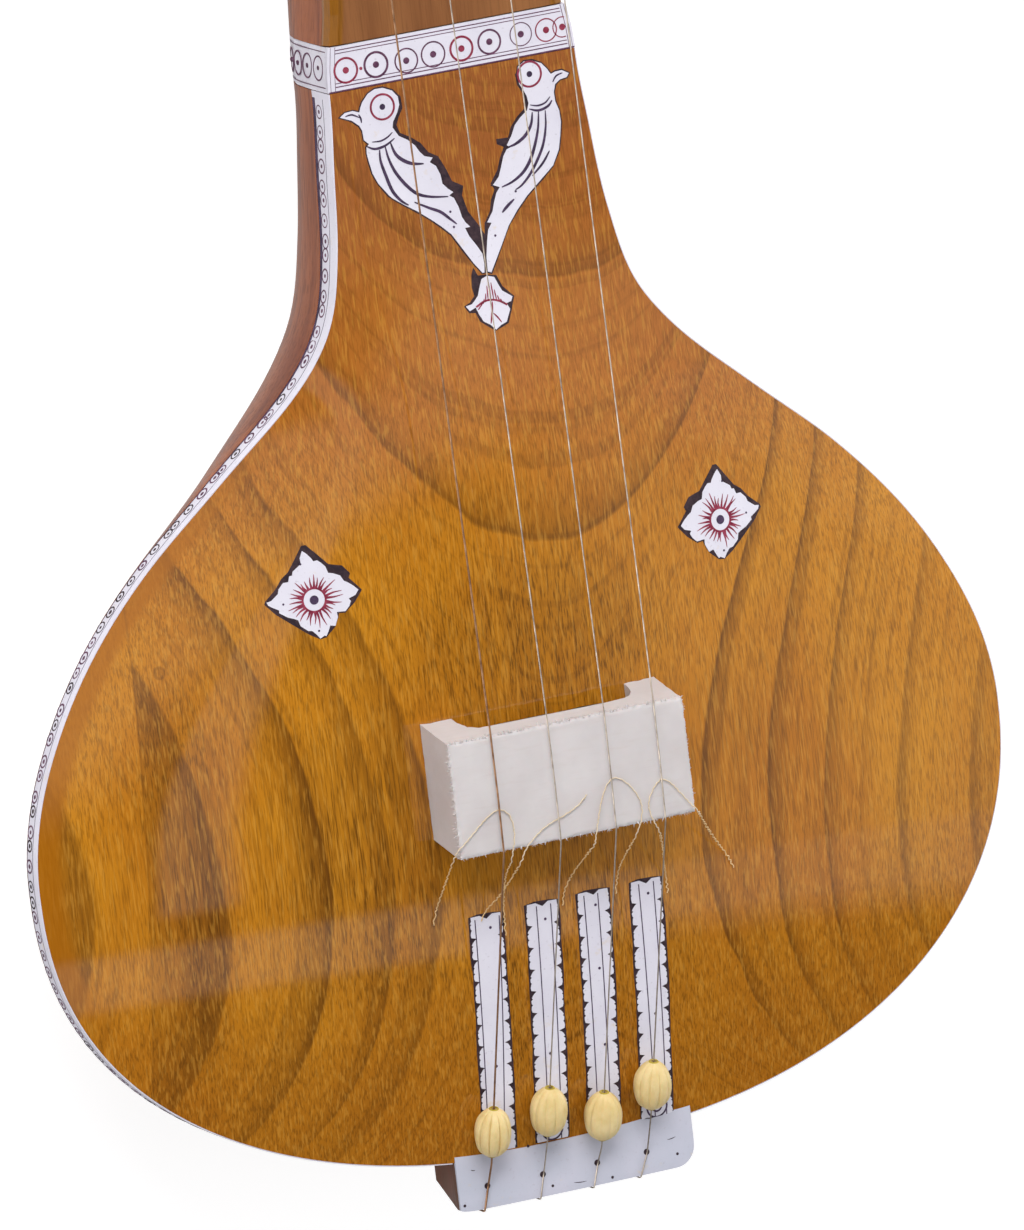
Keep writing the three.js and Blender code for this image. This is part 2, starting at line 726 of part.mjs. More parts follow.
function tailColumn(share) {
  const x = share * tailHalfWidth;
  const station = tailStation(Math.abs(x) / bowlHalfWidth);
  const beyond = Math.max(0, Math.abs(x) - (tailHalfWidth - tailCornerRadius));
  const corner = tailCornerRadius - Math.sqrt(Math.max(tailCornerRadius ** 2 - beyond ** 2, 0));
  return {
    x,
    lip: station.inset(tailLip).y,
    rim: station.inset(0).y,
    end: -bowlToTail - tailReach + corner,
    top: tailTop(x),
  };
}

function tailpiecePlateGeometry() {
  const rows = tailColumnShares.map(tailColumn).map(({ x, lip, end, top }) => [
    v3(x, lip, top), v3(x, end, top), v3(x, end, top - celluloid), v3(x, lip, top - celluloid),
  ]);
  const hole = (x) => rod(stringHoleRadius, bowlDepth, 'z', v3(x, -bowlToTail - stringHoleReach, 0), 10);
  return cut(rowsSolid(rows), tailStringX.map(hole));
}

function pinPlace(i) {
  const top = tailTop(edgeStringX[i]) - celluloid - gap;
  const slope = Math.atan2(tailDepth - tailEndThickness, tailReach - tailStraight);
  const y = -bowlToTail - mix(tailStraight, tailReach, 0.5);
  const z = top - mix(tailDepth, tailEndThickness, 0.5);
  return { position: v3(edgeStringX[i], y, z), slope };
}

function tailpieceBlockGeometry() {
  const rows = tailColumnShares.map(tailColumn).map(({ x, lip, rim, end, top: plateTop }) => {
    const top = plateTop - celluloid - gap;
    const under = Math.max(end, -bowlToTail - tailReach);
    return [
      v3(x, lip, top), v3(x, under, top), v3(x, under, top - tailEndThickness),
      v3(x, -bowlToTail - tailStraight, top - tailDepth), v3(x, rim - gap, top - tailDepth),
      v3(x, rim - gap, plateTop - tailLipDepth), v3(x, lip, plateTop - tailLipDepth),
    ];
  });
  const holes = stringRadii.map((_, i) => {
    const { position, slope } = pinPlace(i);
    const tool = new THREE.CylinderGeometry(pinRadius + gap, pinRadius + gap, 2 * (pinGrip + gap), 10);
    return tool.rotateX(slope).translate(position.x, position.y, position.z);
  });
  return cut(rowsSolid(rows), holes);
}

function pinGeometry(i) {
  const { position, slope } = pinPlace(i);
  const out = pinGrip - pinLength;
  const profile = [
    [0, pinGrip], [pinRadius, pinGrip], [pinRadius, out + pinHeadThickness],
    [pinHeadRadius, out + pinHeadThickness], [pinHeadRadius, out], [0, out],
  ].reverse().map(([r, y]) => new THREE.Vector2(r, y));
  return new THREE.LatheGeometry(profile, 10).rotateX(slope).translate(position.x, position.y, position.z);
}

// Block glued inside the bowl behind the tailpiece
function tailBlockGeometry() {
  const section = (station) => {
    const rim = station.inset(0);
    const wall = station.inset(shellWall + gap);
    const bend = faceZ(rim.x, rim.y) - stripHeight(rim.y) - gap;
    const floor = shellFloor + gap;
    const curve = hollowCurve(wall, 0, bend, floor - bodyDepth(0), floor - bowlDepth, bowlPowers);
    const under = curve.slice(tailBlockFacet);
    const top = (p) => v3(p.x, p.y, faceZ(wall.x, wall.y) - ledge - gap);
    return [...under, top(wall), top(under[0])];
  };
  const right = [cornerStation, ...innerTailStations].map(section);
  return rowsSolid([...right, ...right.slice(0, -1).map(mirrorX).reverse()]);
}

// Bridge
function bridgeSurfaceZ(y) {
  const u = (y - bridgeY) / (bridgeLength / 2);
  return bridgeTopZ - bridgeArch * u * u;
}

function bridgePlateGeometry() {
  const rows = [];
  const half = bridgeWidth / 2;
  for (let i = 0; i <= 6; i += 1) {
    const y = bridgeY + mix(-0.5, 0.5, i / 6) * bridgeLength;
    const top = bridgeSurfaceZ(y);
    const bottom = bridgeTopZ - bridgePlateThickness;
    rows.push([
      v3(half, y, bottom), v3(half, y, top - bridgeChamfer), v3(half - bridgeChamfer, y, top),
      v3(bridgeChamfer - half, y, top), v3(-half, y, top - bridgeChamfer), v3(-half, y, bottom),
    ]);
  }
  return rowsSolid(rows);
}

function bridgeBaseGeometry() {
  const half = bridgeWidth / 2;
  const inner = half - bridgeFoot;
  const foot = (x) => faceZ(x, bridgeY) + gap;
  const top = bridgeTopZ - bridgePlateThickness - gap;
  const ceiling = top - bridgeDeck;
  const shape = new THREE.Shape();
  shape.moveTo(half, foot(half));
  shape.lineTo(half, top);
  shape.lineTo(-half, top);
  shape.lineTo(-half, foot(half));
  shape.lineTo(-inner, foot(inner));
  shape.quadraticCurveTo(-inner, ceiling, -inner + bridgeArchInset, ceiling);
  shape.lineTo(inner - bridgeArchInset, ceiling);
  shape.quadraticCurveTo(inner, ceiling, inner, foot(inner));
  const geometry = new THREE.ExtrudeGeometry(shape, { depth: bridgeLength, bevelEnabled: false, curveSegments: 5 });
  geometry.rotateX(Math.PI / 2).translate(0, bridgeY + bridgeLength / 2, 0);
  const lean = bridgeLean / (top - crownRise);
  const shear = new THREE.Matrix4().makeShear(0, 0, 0, 0, 0, -lean);
  return geometry.applyMatrix4(shear).translate(0, lean * top, 0);
}

// Strings: tubes through hand-set turning points with small bends
class Route extends THREE.Curve {
  constructor(points) {
    super();
    this.points = points;
  }

  getPoint(u) {
    const place = u * (this.points.length - 1);
    const i = Math.min(Math.floor(place), this.points.length - 2);
    return this.points[i].clone().lerp(this.points[i + 1], place - i);
  }

  getPointAt(u) {
    return this.getPoint(u);
  }

  getTangentAt(u) {
    const step = 0.5 / (this.points.length - 1);
    return this.getPoint(Math.min(u + step, 1)).sub(this.getPoint(Math.max(u - step, 0))).normalize();
  }
}

function bentRoute(turns, bend) {
  const points = [turns[0]];
  for (let i = 1; i + 1 < turns.length; i += 1) {
    const before = turns[i - 1].clone().sub(turns[i]);
    const after = turns[i + 1].clone().sub(turns[i]);
    const reach = Math.min(bend, before.length() / 2, after.length() / 2);
    const start = turns[i].clone().addScaledVector(before.normalize(), reach);
    const end = turns[i].clone().addScaledVector(after.normalize(), reach);
    const curve = new THREE.QuadraticBezierCurve3(start, turns[i], end);
    points.push(start, curve.getPoint(0.5), end);
  }
  points.push(turns[turns.length - 1]);
  return new Route(points);
}

function circleShape(radius, sides) {
  const points = [];
  for (let i = 0; i < sides; i += 1) {
    const angle = (i / sides) * 2 * Math.PI;
    points.push(new THREE.Vector2(radius * Math.cos(angle), radius * Math.sin(angle)));
  }
  return new THREE.Shape(points);
}

function routeTube(route, radius, sides) {
  const steps = route.points.length - 1;
  return new THREE.ExtrudeGeometry(circleShape(radius, sides), { extrudePath: route, steps, bevelEnabled: false });
}

// Places where string i leaves the tailpiece, and meets the bridge's rear and front edges
function stringLine(i) {
  const radius = stringRadii[i];
  const rest = gap + radius;
  const lift = 2 * threadRadius + 2 * fineGap + radius;
  const rearY = bridgeY - bridgeLength / 2;
  const frontY = bridgeY + bridgeLength / 2;
  const off = v3(tailStringX[i], -bowlToTail - stringHoleReach, tailTop(tailStringX[i]) + rest);
  const rear = v3(bridgeRearX[i], rearY, bridgeTopZ + lift);
  const middle = v3(mix(bridgeRearX[i], bridgeFrontX[i], 0.5), bridgeY, bridgeTopZ + lift);
  const front = v3(bridgeFrontX[i], frontY, bridgeTopZ + rest);
  const x = mix(off.x, rear.x, (beadY[i] - off.y) / (rearY - off.y));
  const bead = v3(x, beadY[i], faceZ(x, beadY[i]) + beadRadius + beadLift);
  const along = rear.clone().sub(bead).normalize();
  const kink = bead.clone().addScaledVector(along, -beadLength / 2 - beadBackTravel);
  return { off, kink, bead, along, rear, middle, front };
}

function pegPlace(peg, onSide) {
  const y = nutY + peg.fromNut;
  if (onSide) return v3(peg.side * (halfWidth(y) + pegStandOff), y, -sidePegDepth);
  return v3(peg.side * facePegX, y, pegStandOff);
}

const windingRadius = (i) => pegShankRadius + 2 * fineGap + stringRadii[i];
const windingReach = (i) => (windingTurns * windingPitch) / 2 + stringRadii[i];

// Middle of the winding along the peg, and the point beside it where the string arrives
function windingPlace(i) {
  const side = sidePegs.find((peg) => peg.string === i);
  const clear = windingRadius(i) + 2 * stringRadii[i] + gap;
  if (side) {
    const y = nutY + side.fromNut;
    const x = side.side * (halfWidth(y) - shellWall - windingMargin - windingReach(i));
    return { centre: v3(x, y, -sidePegDepth), arrive: v3(x, y, clear - sidePegDepth) };
  }
  const face = facePegs.find((peg) => peg.string === i);
  const y = nutY + face.fromNut;
  const z = guideHoleHeight - guideDrop;
  const x = face.side * facePegX;
  return { centre: v3(x, y, z), arrive: v3(x - face.side * clear, y, z) };
}

function stringGeometry(i) {
  const radius = stringRadii[i];
  const rest = gap + radius;
  const { off, kink, rear, middle, front } = stringLine(i);
  const pin = pinPlace(i);
  const end = -bowlToTail - tailReach;
  const top = tailTop(edgeStringX[i]);
  const under = top - celluloid - gap - tailEndThickness;
  const slide = v3(0, Math.cos(pin.slope), -Math.sin(pin.slope));
  const away = v3(0, -Math.sin(pin.slope), -Math.cos(pin.slope)).multiplyScalar(rest);
  const start = pin.position.clone().add(away).addScaledVector(slide, -pinRadius - gap);
  const { arrive } = windingPlace(i);
  const turns = [
    start,
    v3(edgeStringX[i], end - rest, under - rest),
    v3(edgeStringX[i], end - rest, top + rest),
    off, kink, rear, middle, front,
    v3(nutX[i], nutY + nutThickness / 2, nutHeight - notchDepth + fineGap + radius),
    v3(guideX[i], guideY + guideThickness / 2 + gap, guideHoleHeight - guideDrop),
    arrive,
  ];
  return routeTube(bentRoute(turns, stringBend), radius, stringSides);
}

function threadGeometry(route) {
  const curve = new THREE.CatmullRomCurve3(route.map((p) => v3(...p)));
  const shape = circleShape(threadRadius, threadSides);
  return new THREE.ExtrudeGeometry(shape, { extrudePath: curve, steps: threadSteps, bevelEnabled: false });
}

// Beads: ribbed ovals with a bore, strung between tailpiece and bridge
function beadGeometry() {
  const ring = (place, radius, rib) => {
    const points = [];
    for (let k = 0; k < beadSides; k += 1) {
      const angle = (k / beadSides) * 2 * Math.PI;
      const reach = radius * (k % 2 === 0 ? 1 : 1 - rib);
      points.push(v3(reach * Math.cos(angle), reach * Math.sin(angle), place));
    }
    return points;
  };
  const half = beadLength / 2;
  const outer = beadProfileShares.map(([u, r]) => ring(u * half, r * beadRadius, beadRib * r));
  return rowsSolid([...outer, ring(half, beadBore, 0), ring(-half, beadBore, 0)], { ring: true });
}

// Neck's face plate, nut and guide
function windowSlot(peg) {
  const { centre, arrive } = windingPlace(peg.string);
  const shape = new THREE.Shape();
  const sink = guideHoleHeight / (guideHoleHeight - arrive.z);
  const from = mix(guideY, centre.y, sink) + slotFront;
  const to = centre.y + slotBack;
  shape.absarc(centre.x, to, slotHalfWidth, 0, Math.PI);
  shape.absarc(centre.x, from, slotHalfWidth, Math.PI, 2 * Math.PI);
  const options = { depth: 2 * faceplateThickness + overrun, bevelEnabled: false, curveSegments: 6 };
  return new THREE.ExtrudeGeometry(shape, options).translate(0, 0, -2 * faceplateThickness);
}

function seatTool(y, thickness) {
  const tool = new THREE.BoxGeometry(2 * (nutHalfWidth + gap), thickness + 2 * gap, 2 * (seatDepth + gap));
  return tool.translate(0, y, 0);
}

function faceplateGeometry() {
  const row = (y) => {
    const half = halfWidth(y);
    const r = faceplateRound;
    const side = [
      v3(half, y, -faceplateThickness), v3(half, y, -r), v3(half - r * 0.3, y, -r * 0.3), v3(half - r, y, 0),
    ];
    return [...side, ...mirrorX(side).reverse()];
  };
  const holes = facePegs.map((peg) => rod(pegShankRadius + gap, bowlDepth / 2, 'z', pegPlace(peg, false)));
  const rows = [bandTop + gap, mix(bandTop, flareEnd, 0.5), flareEnd, headEnd].map(row);
  return cut(rowsSolid(rows), [
    ...holes,
    ...sidePegs.map(windowSlot),
    seatTool(nutY, nutThickness),
    seatTool(guideY, guideThickness),
  ]);
}

function barGeometry(shape, y, thickness) {
  const geometry = new THREE.ExtrudeGeometry(shape, { depth: thickness, bevelEnabled: false, curveSegments: 5 });
  return geometry.rotateX(Math.PI / 2).translate(0, y + thickness / 2, 0);
}

function nutGeometry() {
  const points = [new THREE.Vector2(-nutHalfWidth, -seatDepth), new THREE.Vector2(-nutHalfWidth, nutHeight)];
  nutX.forEach((x) => {
    points.push(new THREE.Vector2(x - notchHalfWidth, nutHeight));
    points.push(new THREE.Vector2(x - notchHalfWidth, nutHeight - notchDepth));
    points.push(new THREE.Vector2(x + notchHalfWidth, nutHeight - notchDepth));
    points.push(new THREE.Vector2(x + notchHalfWidth, nutHeight));
  });
  points.push(new THREE.Vector2(nutHalfWidth, nutHeight), new THREE.Vector2(nutHalfWidth, -seatDepth));
  return barGeometry(new THREE.Shape(points), nutY, nutThickness);
}

function guideGeometry() {
  const half = nutHalfWidth;
  const shape = new THREE.Shape();
  shape.moveTo(-half, -seatDepth);
  shape.lineTo(half, -seatDepth);
  shape.lineTo(half, guideHeight / 2);
  shape.quadraticCurveTo(half, guideHeight, half - guideHeight / 2, guideHeight);
  shape.lineTo(guideHeight / 2 - half, guideHeight);
  shape.quadraticCurveTo(-half, guideHeight, -half, guideHeight / 2);
  shape.holes = guideX.map((x) => {
    const hole = new THREE.Path();
    return hole.absarc(x, guideHoleHeight, guideHoleRadius, 0, 2 * Math.PI, true);
  });
  return barGeometry(shape, guideY, guideThickness);
}

// Pegs
function pegHoles() {
  const tools = [];
  sidePegs.forEach((peg) => {
    const place = pegPlace(peg, true);
    const wall = halfWidth(place.y);
    const reach = 2 * shellWall + overrun;
    tools.push(rod(pegShankRadius + gap, 2 * reach, 'x', v3(peg.side * wall, place.y, place.z)));
    const far = -peg.side * (wall - shellWall);
    tools.push(rod(pegTipRadius + gap, 2 * (pegBlindDepth + gap), 'x', v3(far, place.y, place.z)));
  });
  facePegs.forEach((peg) => {
    const place = pegPlace(peg, false);
    const floor = shellFloor - bodyDepth(place.y);
    tools.push(rod(pegTipRadius + gap, 2 * (pegBlindDepth + gap), 'z', v3(place.x, place.y, floor)));
  });
  return tools;
}

function pegLength(peg, onSide) {
  const y = nutY + peg.fromNut;
  if (onSide) return 2 * halfWidth(y) - shellWall + pegStandOff + pegBlindDepth;
  return pegStandOff + bodyDepth(y) - shellFloor + pegBlindDepth;
}

// A peg drawn along Y: its tip below, its head above, y = 0 where the head starts
function pegGeometry(length) {
  const shank = [
    [0, -length], [pegTipRadius, -length], [pegTipRadius, -length + 3 * pegBlindDepth],
    [pegShankRadius, -length + 5 * pegBlindDepth], [pegShankRadius, 0],
  ];
  const head = pegProfileShares.map(([u, r]) => [r * pegHeadRadius, u * pegHeadLength]);
  const profile = [...shank, ...head, [0, pegHeadLength]].map(([r, y]) => new THREE.Vector2(r, y));
  return new THREE.LatheGeometry(profile, pegSides);
}

function windingPoints(i) {
  const radius = windingRadius(i);
  const total = windingTurns * windingStepsPerTurn;
  const points = [];
  for (let k = 0; k <= total; k += 1) {
    const angle = (k / windingStepsPerTurn) * 2 * Math.PI;
    const along = (k / total - 0.5) * windingTurns * windingPitch;
    points.push(v3(radius * Math.cos(angle), along, radius * Math.sin(angle)));
  }
  return points;
}

function leastSelfGap(points, radius) {
  let least = Infinity;
  points.forEach((p, a) => {
    points.slice(a + windingStepsPerTurn / 2).forEach((q) => {
      least = Math.min(least, p.distanceTo(q) - 2 * radius);
    });
  });
  return least;
}

function windingGeometry(i) {
  const points = windingPoints(i);
  console.log(`peg_winding_${i + 1}: least gap to itself ${leastSelfGap(points, stringRadii[i]).toFixed(2)} mm`);
  return routeTube(new Route(points), stringRadii[i], windingSides);
}

// Carved cap that closes the head
function headCapGeometry() {
  const half = halfWidth(headEnd);
  const depth = bodyDepth(headEnd);
  const row = (y, scale, drop) => {
    const rim = new THREE.Vector2(half * scale, y);
    const curve = hollowCurve(rim, y, -stripHeight(y) * scale, -depth * scale, -bowlDepth, neckPowers);
    return wholeLoop([...curve, v3(rim.x, y, -faceplateRound - drop), v3(rim.x - faceplateRound, y, -drop), v3(0, y, -drop)]);
  };
  const length = capLength;
  return rowsSolid([
    row(headEnd + gap, 1, 0),
    row(headEnd + length * 0.15, 1, 0),
    row(headEnd + length * 0.2, 0.93, capRound / 2),
    row(headEnd + length * 0.3, 0.93, capRound / 2),
    row(headEnd + length * 0.36, 1, 0),
    row(headEnd + length * 0.62, 0.97, 0),
    row(headEnd + length * 0.84, 0.86, capRound),
    row(headEnd + length, 0.62, 2 * capRound),
  ]);
}

// Materials
const finishes = {
  bowl_wood: { color: 0x8a4526, roughness: 0.35, metalness: 0 },
  face_wood: { color: 0xb4691f, roughness: 0.25, metalness: 0 },
  inner_wood: { color: 0xc49a5c, roughness: 0.8, metalness: 0 },
  celluloid: { color: 0xe6e3ea, roughness: 0.45, metalness: 0 },
  bone: { color: 0xdcd3d2, roughness: 0.6, metalness: 0 },
  bead: { color: 0xe6d49a, roughness: 0.55, metalness: 0 },
  bronze: { color: 0xa9714b, roughness: 0.35, metalness: 1 },
  steel: { color: 0xb9b4ae, roughness: 0.3, metalness: 1 },
  cotton: { color: 0xd8b682, roughness: 0.9, metalness: 0 },
  peg_wood: { color: 0x4a2a1c, roughness: 0.35, metalness: 0 },
};
const materials = Object.fromEntries(
  Object.entries(finishes).map(([name, finish]) => [name, new THREE.MeshStandardMaterial({ name, ...finish })]),
);

const instrument = new THREE.Group();
instrument.position.z = bowlDepth;

function add(name, geometry, finish) {
  const mesh = new THREE.Mesh(geometry, materials[finish]);
  mesh.name = name;
  instrument.add(mesh);
  return mesh;
}

add('tumba', tumbaGeometry(), 'bowl_wood');
add('gulu', guluGeometry(), 'bowl_wood');
add('tabli', tabliGeometry(), 'face_wood');
add('neck_channel', neckChannelGeometry(), 'bowl_wood');
add('neck_faceplate', faceplateGeometry(), 'face_wood');
add('heel_block', heelBlockGeometry(), 'inner_wood');
add('tail_block', tailBlockGeometry(), 'inner_wood');
add('head_cap', headCapGeometry(), 'bowl_wood');
add('band_front', bandFrontGeometry(), 'celluloid');
[['left', -1], ['right', 1]].forEach(([name, side]) => {
  add(`band_${name}`, bandSideGeometry(side), 'celluloid');
  add(`side_strip_${name}`, rimTrim(side, stripSection), 'celluloid');
});
Object.entries(inlays).forEach(([name, inlay]) => {
  const plate = inlayGeometry(inlay);
  const side = Math.sign(outlineBox(inlay.outline, 0).getCenter(new THREE.Vector2()).x);
  add(name, name.startsWith('rosette') ? cut(plate, [soundHole(side)]) : plate, 'celluloid');
});
add('bridge_top', bridgePlateGeometry(), 'bone');
add('bridge_base', bridgeBaseGeometry(), 'bone');
add('tailpiece_block', tailpieceBlockGeometry(), 'bowl_wood');
add('tailpiece_plate', tailpiecePlateGeometry(), 'celluloid');
add('nut', nutGeometry(), 'bone');
add('string_guide', guideGeometry(), 'bone');

stringRadii.forEach((_, i) => {
  const finish = i === 0 ? 'bronze' : 'steel';
  add(`string_${i + 1}`, stringGeometry(i), finish);
  add(`tail_pin_${i + 1}`, pinGeometry(i), 'steel');
  add(`jawari_thread_${i + 1}`, threadGeometry(threadRoutes[i]), 'cotton');
  const { bead: centre, along } = stringLine(i);
  const bead = add(`bead_${i + 1}`, beadGeometry(), 'bead');
  bead.position.copy(centre);
  bead.quaternion.setFromUnitVectors(v3(0, 0, 1), along);
});

function addPeg(peg, onSide) {
  const number = peg.string + 1;
  const place = pegPlace(peg, onSide);
  const turn = onSide ? -peg.side * (Math.PI / 2) : 0;
  const shaft = add(`peg_${number}`, pegGeometry(pegLength(peg, onSide)), 'peg_wood');
  const winding = add(`peg_winding_${number}`, windingGeometry(peg.string), number === 1 ? 'bronze' : 'steel');
  shaft.position.copy(place);
  winding.position.copy(windingPlace(peg.string).centre);
  [shaft, winding].forEach((mesh) => {
    if (onSide) mesh.rotation.z = turn;
    else mesh.rotation.x = Math.PI / 2;
  });
}
sidePegs.forEach((peg) => addPeg(peg, true));
facePegs.forEach((peg) => addPeg(peg, false));

export default instrument;
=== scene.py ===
# Looks of a four-string tanpura with a shallow wooden bowl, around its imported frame.
# Shapes are in millimetres with z = 0 at the face of the neck, as in the part's own source.
import math
import random

import bmesh
import bpy
import numpy as np
from mathutils import Matrix, Vector, noise
from mathutils.geometry import delaunay_2d_cdt


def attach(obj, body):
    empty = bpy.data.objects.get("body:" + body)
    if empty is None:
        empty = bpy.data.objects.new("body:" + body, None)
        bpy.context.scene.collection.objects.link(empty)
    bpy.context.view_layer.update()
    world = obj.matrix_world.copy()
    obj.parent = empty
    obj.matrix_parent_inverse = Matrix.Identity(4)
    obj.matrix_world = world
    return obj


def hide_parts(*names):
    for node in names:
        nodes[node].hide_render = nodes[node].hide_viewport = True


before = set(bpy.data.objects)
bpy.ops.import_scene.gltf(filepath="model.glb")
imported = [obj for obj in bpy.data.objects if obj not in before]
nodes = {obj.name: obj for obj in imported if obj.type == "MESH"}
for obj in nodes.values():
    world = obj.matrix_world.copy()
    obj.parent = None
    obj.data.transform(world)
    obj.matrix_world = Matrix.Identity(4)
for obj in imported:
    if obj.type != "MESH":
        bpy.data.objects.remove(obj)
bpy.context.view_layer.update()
scene = bpy.context.scene
random.seed(7)

MM = 0.001
LIFT = 100.0

# Camera, at the photograph's place and angle
FOCAL_PX = 20000
IMAGE_HEIGHT_PX = 1230
SENSOR = 36.0
CAMERA_AT = Vector((-2.47715, 1.32572, 5.97774))
CAMERA_RIGHT = Vector((0.90624348, -0.11587585, 0.40656555))
CAMERA_DOWN = Vector((-0.18374036, -0.9740801, 0.13193727))
CAMERA_AHEAD = Vector((0.38073907, -0.19426979, -0.90404481))

camera_data = bpy.data.cameras.new("camera")
camera_data.sensor_fit = "VERTICAL"
camera_data.sensor_height = SENSOR
camera_data.sensor_width = SENSOR
camera_data.lens = FOCAL_PX * SENSOR / IMAGE_HEIGHT_PX
camera_data.clip_start = 0.1
camera_data.clip_end = 100.0
camera = bpy.data.objects.new("camera", camera_data)
scene.collection.objects.link(camera)
camera.matrix_world = Matrix.Translation(CAMERA_AT) @ Matrix(
    (CAMERA_RIGHT, -CAMERA_DOWN, -CAMERA_AHEAD)
).transposed().to_4x4()
scene.camera = camera

# Driving sizes in millimetres, the same as in the part's source
BOWL_HALF_WIDTH = 172.8
BOWL_TO_BAND = 243.0
BOWL_TO_TAIL = 116.5
BOWL_DEPTH = 100.0
BAND_LENGTH = 15.0
NECK_LENGTH = 605.0
HEAD_LENGTH = 180.0
CAP_LENGTH = 24.0
NECK_LOW, NECK_HIGH = 40.0, 38.5
NECK_FLARE, NECK_FLARE_LENGTH = 4.0, 35.0
DEPTH_LOW, DEPTH_HIGH = 56.0, 45.0
SHELL_WALL = 7.0
SHELL_FLOOR = 7.0
TABLI_THICKNESS = 4.0
FACEPLATE_THICKNESS = 5.0
BAND_RECESS = 1.3
FACE_ROUND = 3.5
STRIP_DEPTH = 1.2
STRIP_LOW, STRIP_HIGH = 8.0, 14.0
STRIP_GROW_START, STRIP_GROW_LENGTH = 90.0, 130.0
GAP = 0.3
LEDGE = TABLI_THICKNESS + GAP
CROWN_RISE, CROWN_START, CROWN_FULL = 9.0, 215.0, 95.0
TAIL_FALL, TAIL_FALL_START, TAIL_FALL_POWER = 14.0, 5.0, 1.6
ARCH_DROP, ARCH_POWER = 21.5, 2.2
ARCH = [(0, 0), (0.24, 0), (0.36, 0.22), (0.48, 0.67), (0.6, 0.93), (0.75, 1), (1, 1)]
FLAT_SINK, FLAT_LENGTH = 3.6, 48.0
TAIL_POWER = 2.29
OUTLINE = [
    (0, 1), (0.1, 0.974), (0.2, 0.899), (0.3, 0.7825), (0.4, 0.617), (0.5, 0.404), (0.6, 0.196),
    (0.68, 0.086), (0.78, 0.036), (0.9, 0.013), (1, 0),
]
BOWL_POWERS = (2.27, 1.09)
THROAT_POWERS = (2.6, 2.6)
SHAPE_BLEND = (0.41, 0.85)
NECK_POWERS = (3.4, 3.4)
JOINT_SHARE = 0.453
TAIL_HALF_WIDTH = 42.5
TAIL_CORNER_GAP = 0.75
TAIL_REACH = 14.5
STRING_HOLE_REACH = 7.0
BAND_TOP = BOWL_TO_BAND + BAND_LENGTH
NUT_Y = BAND_TOP + NECK_LENGTH
HEAD_END = NUT_Y + HEAD_LENGTH
JOINT_Y = BOWL_TO_BAND * JOINT_SHARE


def smooth(u):
    u = min(max(u, 0.0), 1.0)
    return u * u * (3 - 2 * u)


def mix(a, b, u):
    return a + (b - a) * u


def table_value(table, u):
    """Value of a table of (place, value) pairs on a smooth curve through them."""
    i = 0
    while i < len(table) - 2 and u > table[i + 1][0]:
        i += 1

    def slope(k):
        if k in (0, len(table) - 1):
            return 0.0
        return (table[k + 1][1] - table[k - 1][1]) / (table[k + 1][0] - table[k - 1][0])

    (u0, s0), (u1, s1) = table[i], table[i + 1]
    span = u1 - u0
    t = (u - u0) / span
    t2, t3 = t * t, t * t * t
    ends = (2 * t3 - 3 * t2 + 1) * s0 + (3 * t2 - 2 * t3) * s1
    return ends + (t3 - 2 * t2 + t) * span * slope(i) + (t3 - t2) * span * slope(i + 1)


def half_width(y):
    if y >= BOWL_TO_BAND:
        flare = NECK_FLARE * (1 - smooth((y - BOWL_TO_BAND) / NECK_FLARE_LENGTH))
        return mix(NECK_LOW, NECK_HIGH, (y - BOWL_TO_BAND) / (HEAD_END - BOWL_TO_BAND)) + flare
    return mix(NECK_LOW + NECK_FLARE, BOWL_HALF_WIDTH, table_value(OUTLINE, y / BOWL_TO_BAND))


def body_depth(y):
    if y >= BOWL_TO_BAND:
        return mix(DEPTH_LOW, DEPTH_HIGH, (y - BOWL_TO_BAND) / (HEAD_END - BOWL_TO_BAND))
    share = smooth((y - FLAT_LENGTH) / (BOWL_TO_BAND - FLAT_LENGTH))
    return mix(BOWL_DEPTH + FLAT_SINK, DEPTH_LOW, share)


def crown(y):
    rise = CROWN_RISE * smooth((CROWN_START - y) / (CROWN_START - CROWN_FULL))
    fall = max(0.0, (-TAIL_FALL_START - y) / (BOWL_TO_TAIL - TAIL_FALL_START))
    return rise - TAIL_FALL * fall ** TAIL_FALL_POWER


def face_z(x, y):
    way = min(max(BOWL_TO_BAND - y, 0.0) / BOWL_TO_BAND, 1.0)
    across = abs(x) / half_width(max(y, 0.0))
    return crown(y) - ARCH_DROP * table_value(ARCH, way) * across ** ARCH_POWER


def face_normal(x, y):
    h = 0.5
    dx = (face_z(x + h, y) - face_z(x - h, y)) / (2 * h)
    dy = (face_z(x, y + h) - face_z(x, y - h)) / (2 * h)
    return Vector((-dx, -dy, 1)).normalized()


def section_powers(y):
    if y >= BOWL_TO_BAND:
        v = smooth((y - BOWL_TO_BAND) / NECK_FLARE_LENGTH)
        return [mix(a, b, v) for a, b in zip(THROAT_POWERS, NECK_POWERS)]
    low, high = SHAPE_BLEND
    u = smooth((y / BOWL_TO_BAND - low) / (high - low))
    return [mix(a, b, u) for a, b in zip(BOWL_POWERS, THROAT_POWERS)]


def strip_height(y):
    return mix(STRIP_LOW, STRIP_HIGH, smooth((y - STRIP_GROW_START) / STRIP_GROW_LENGTH))


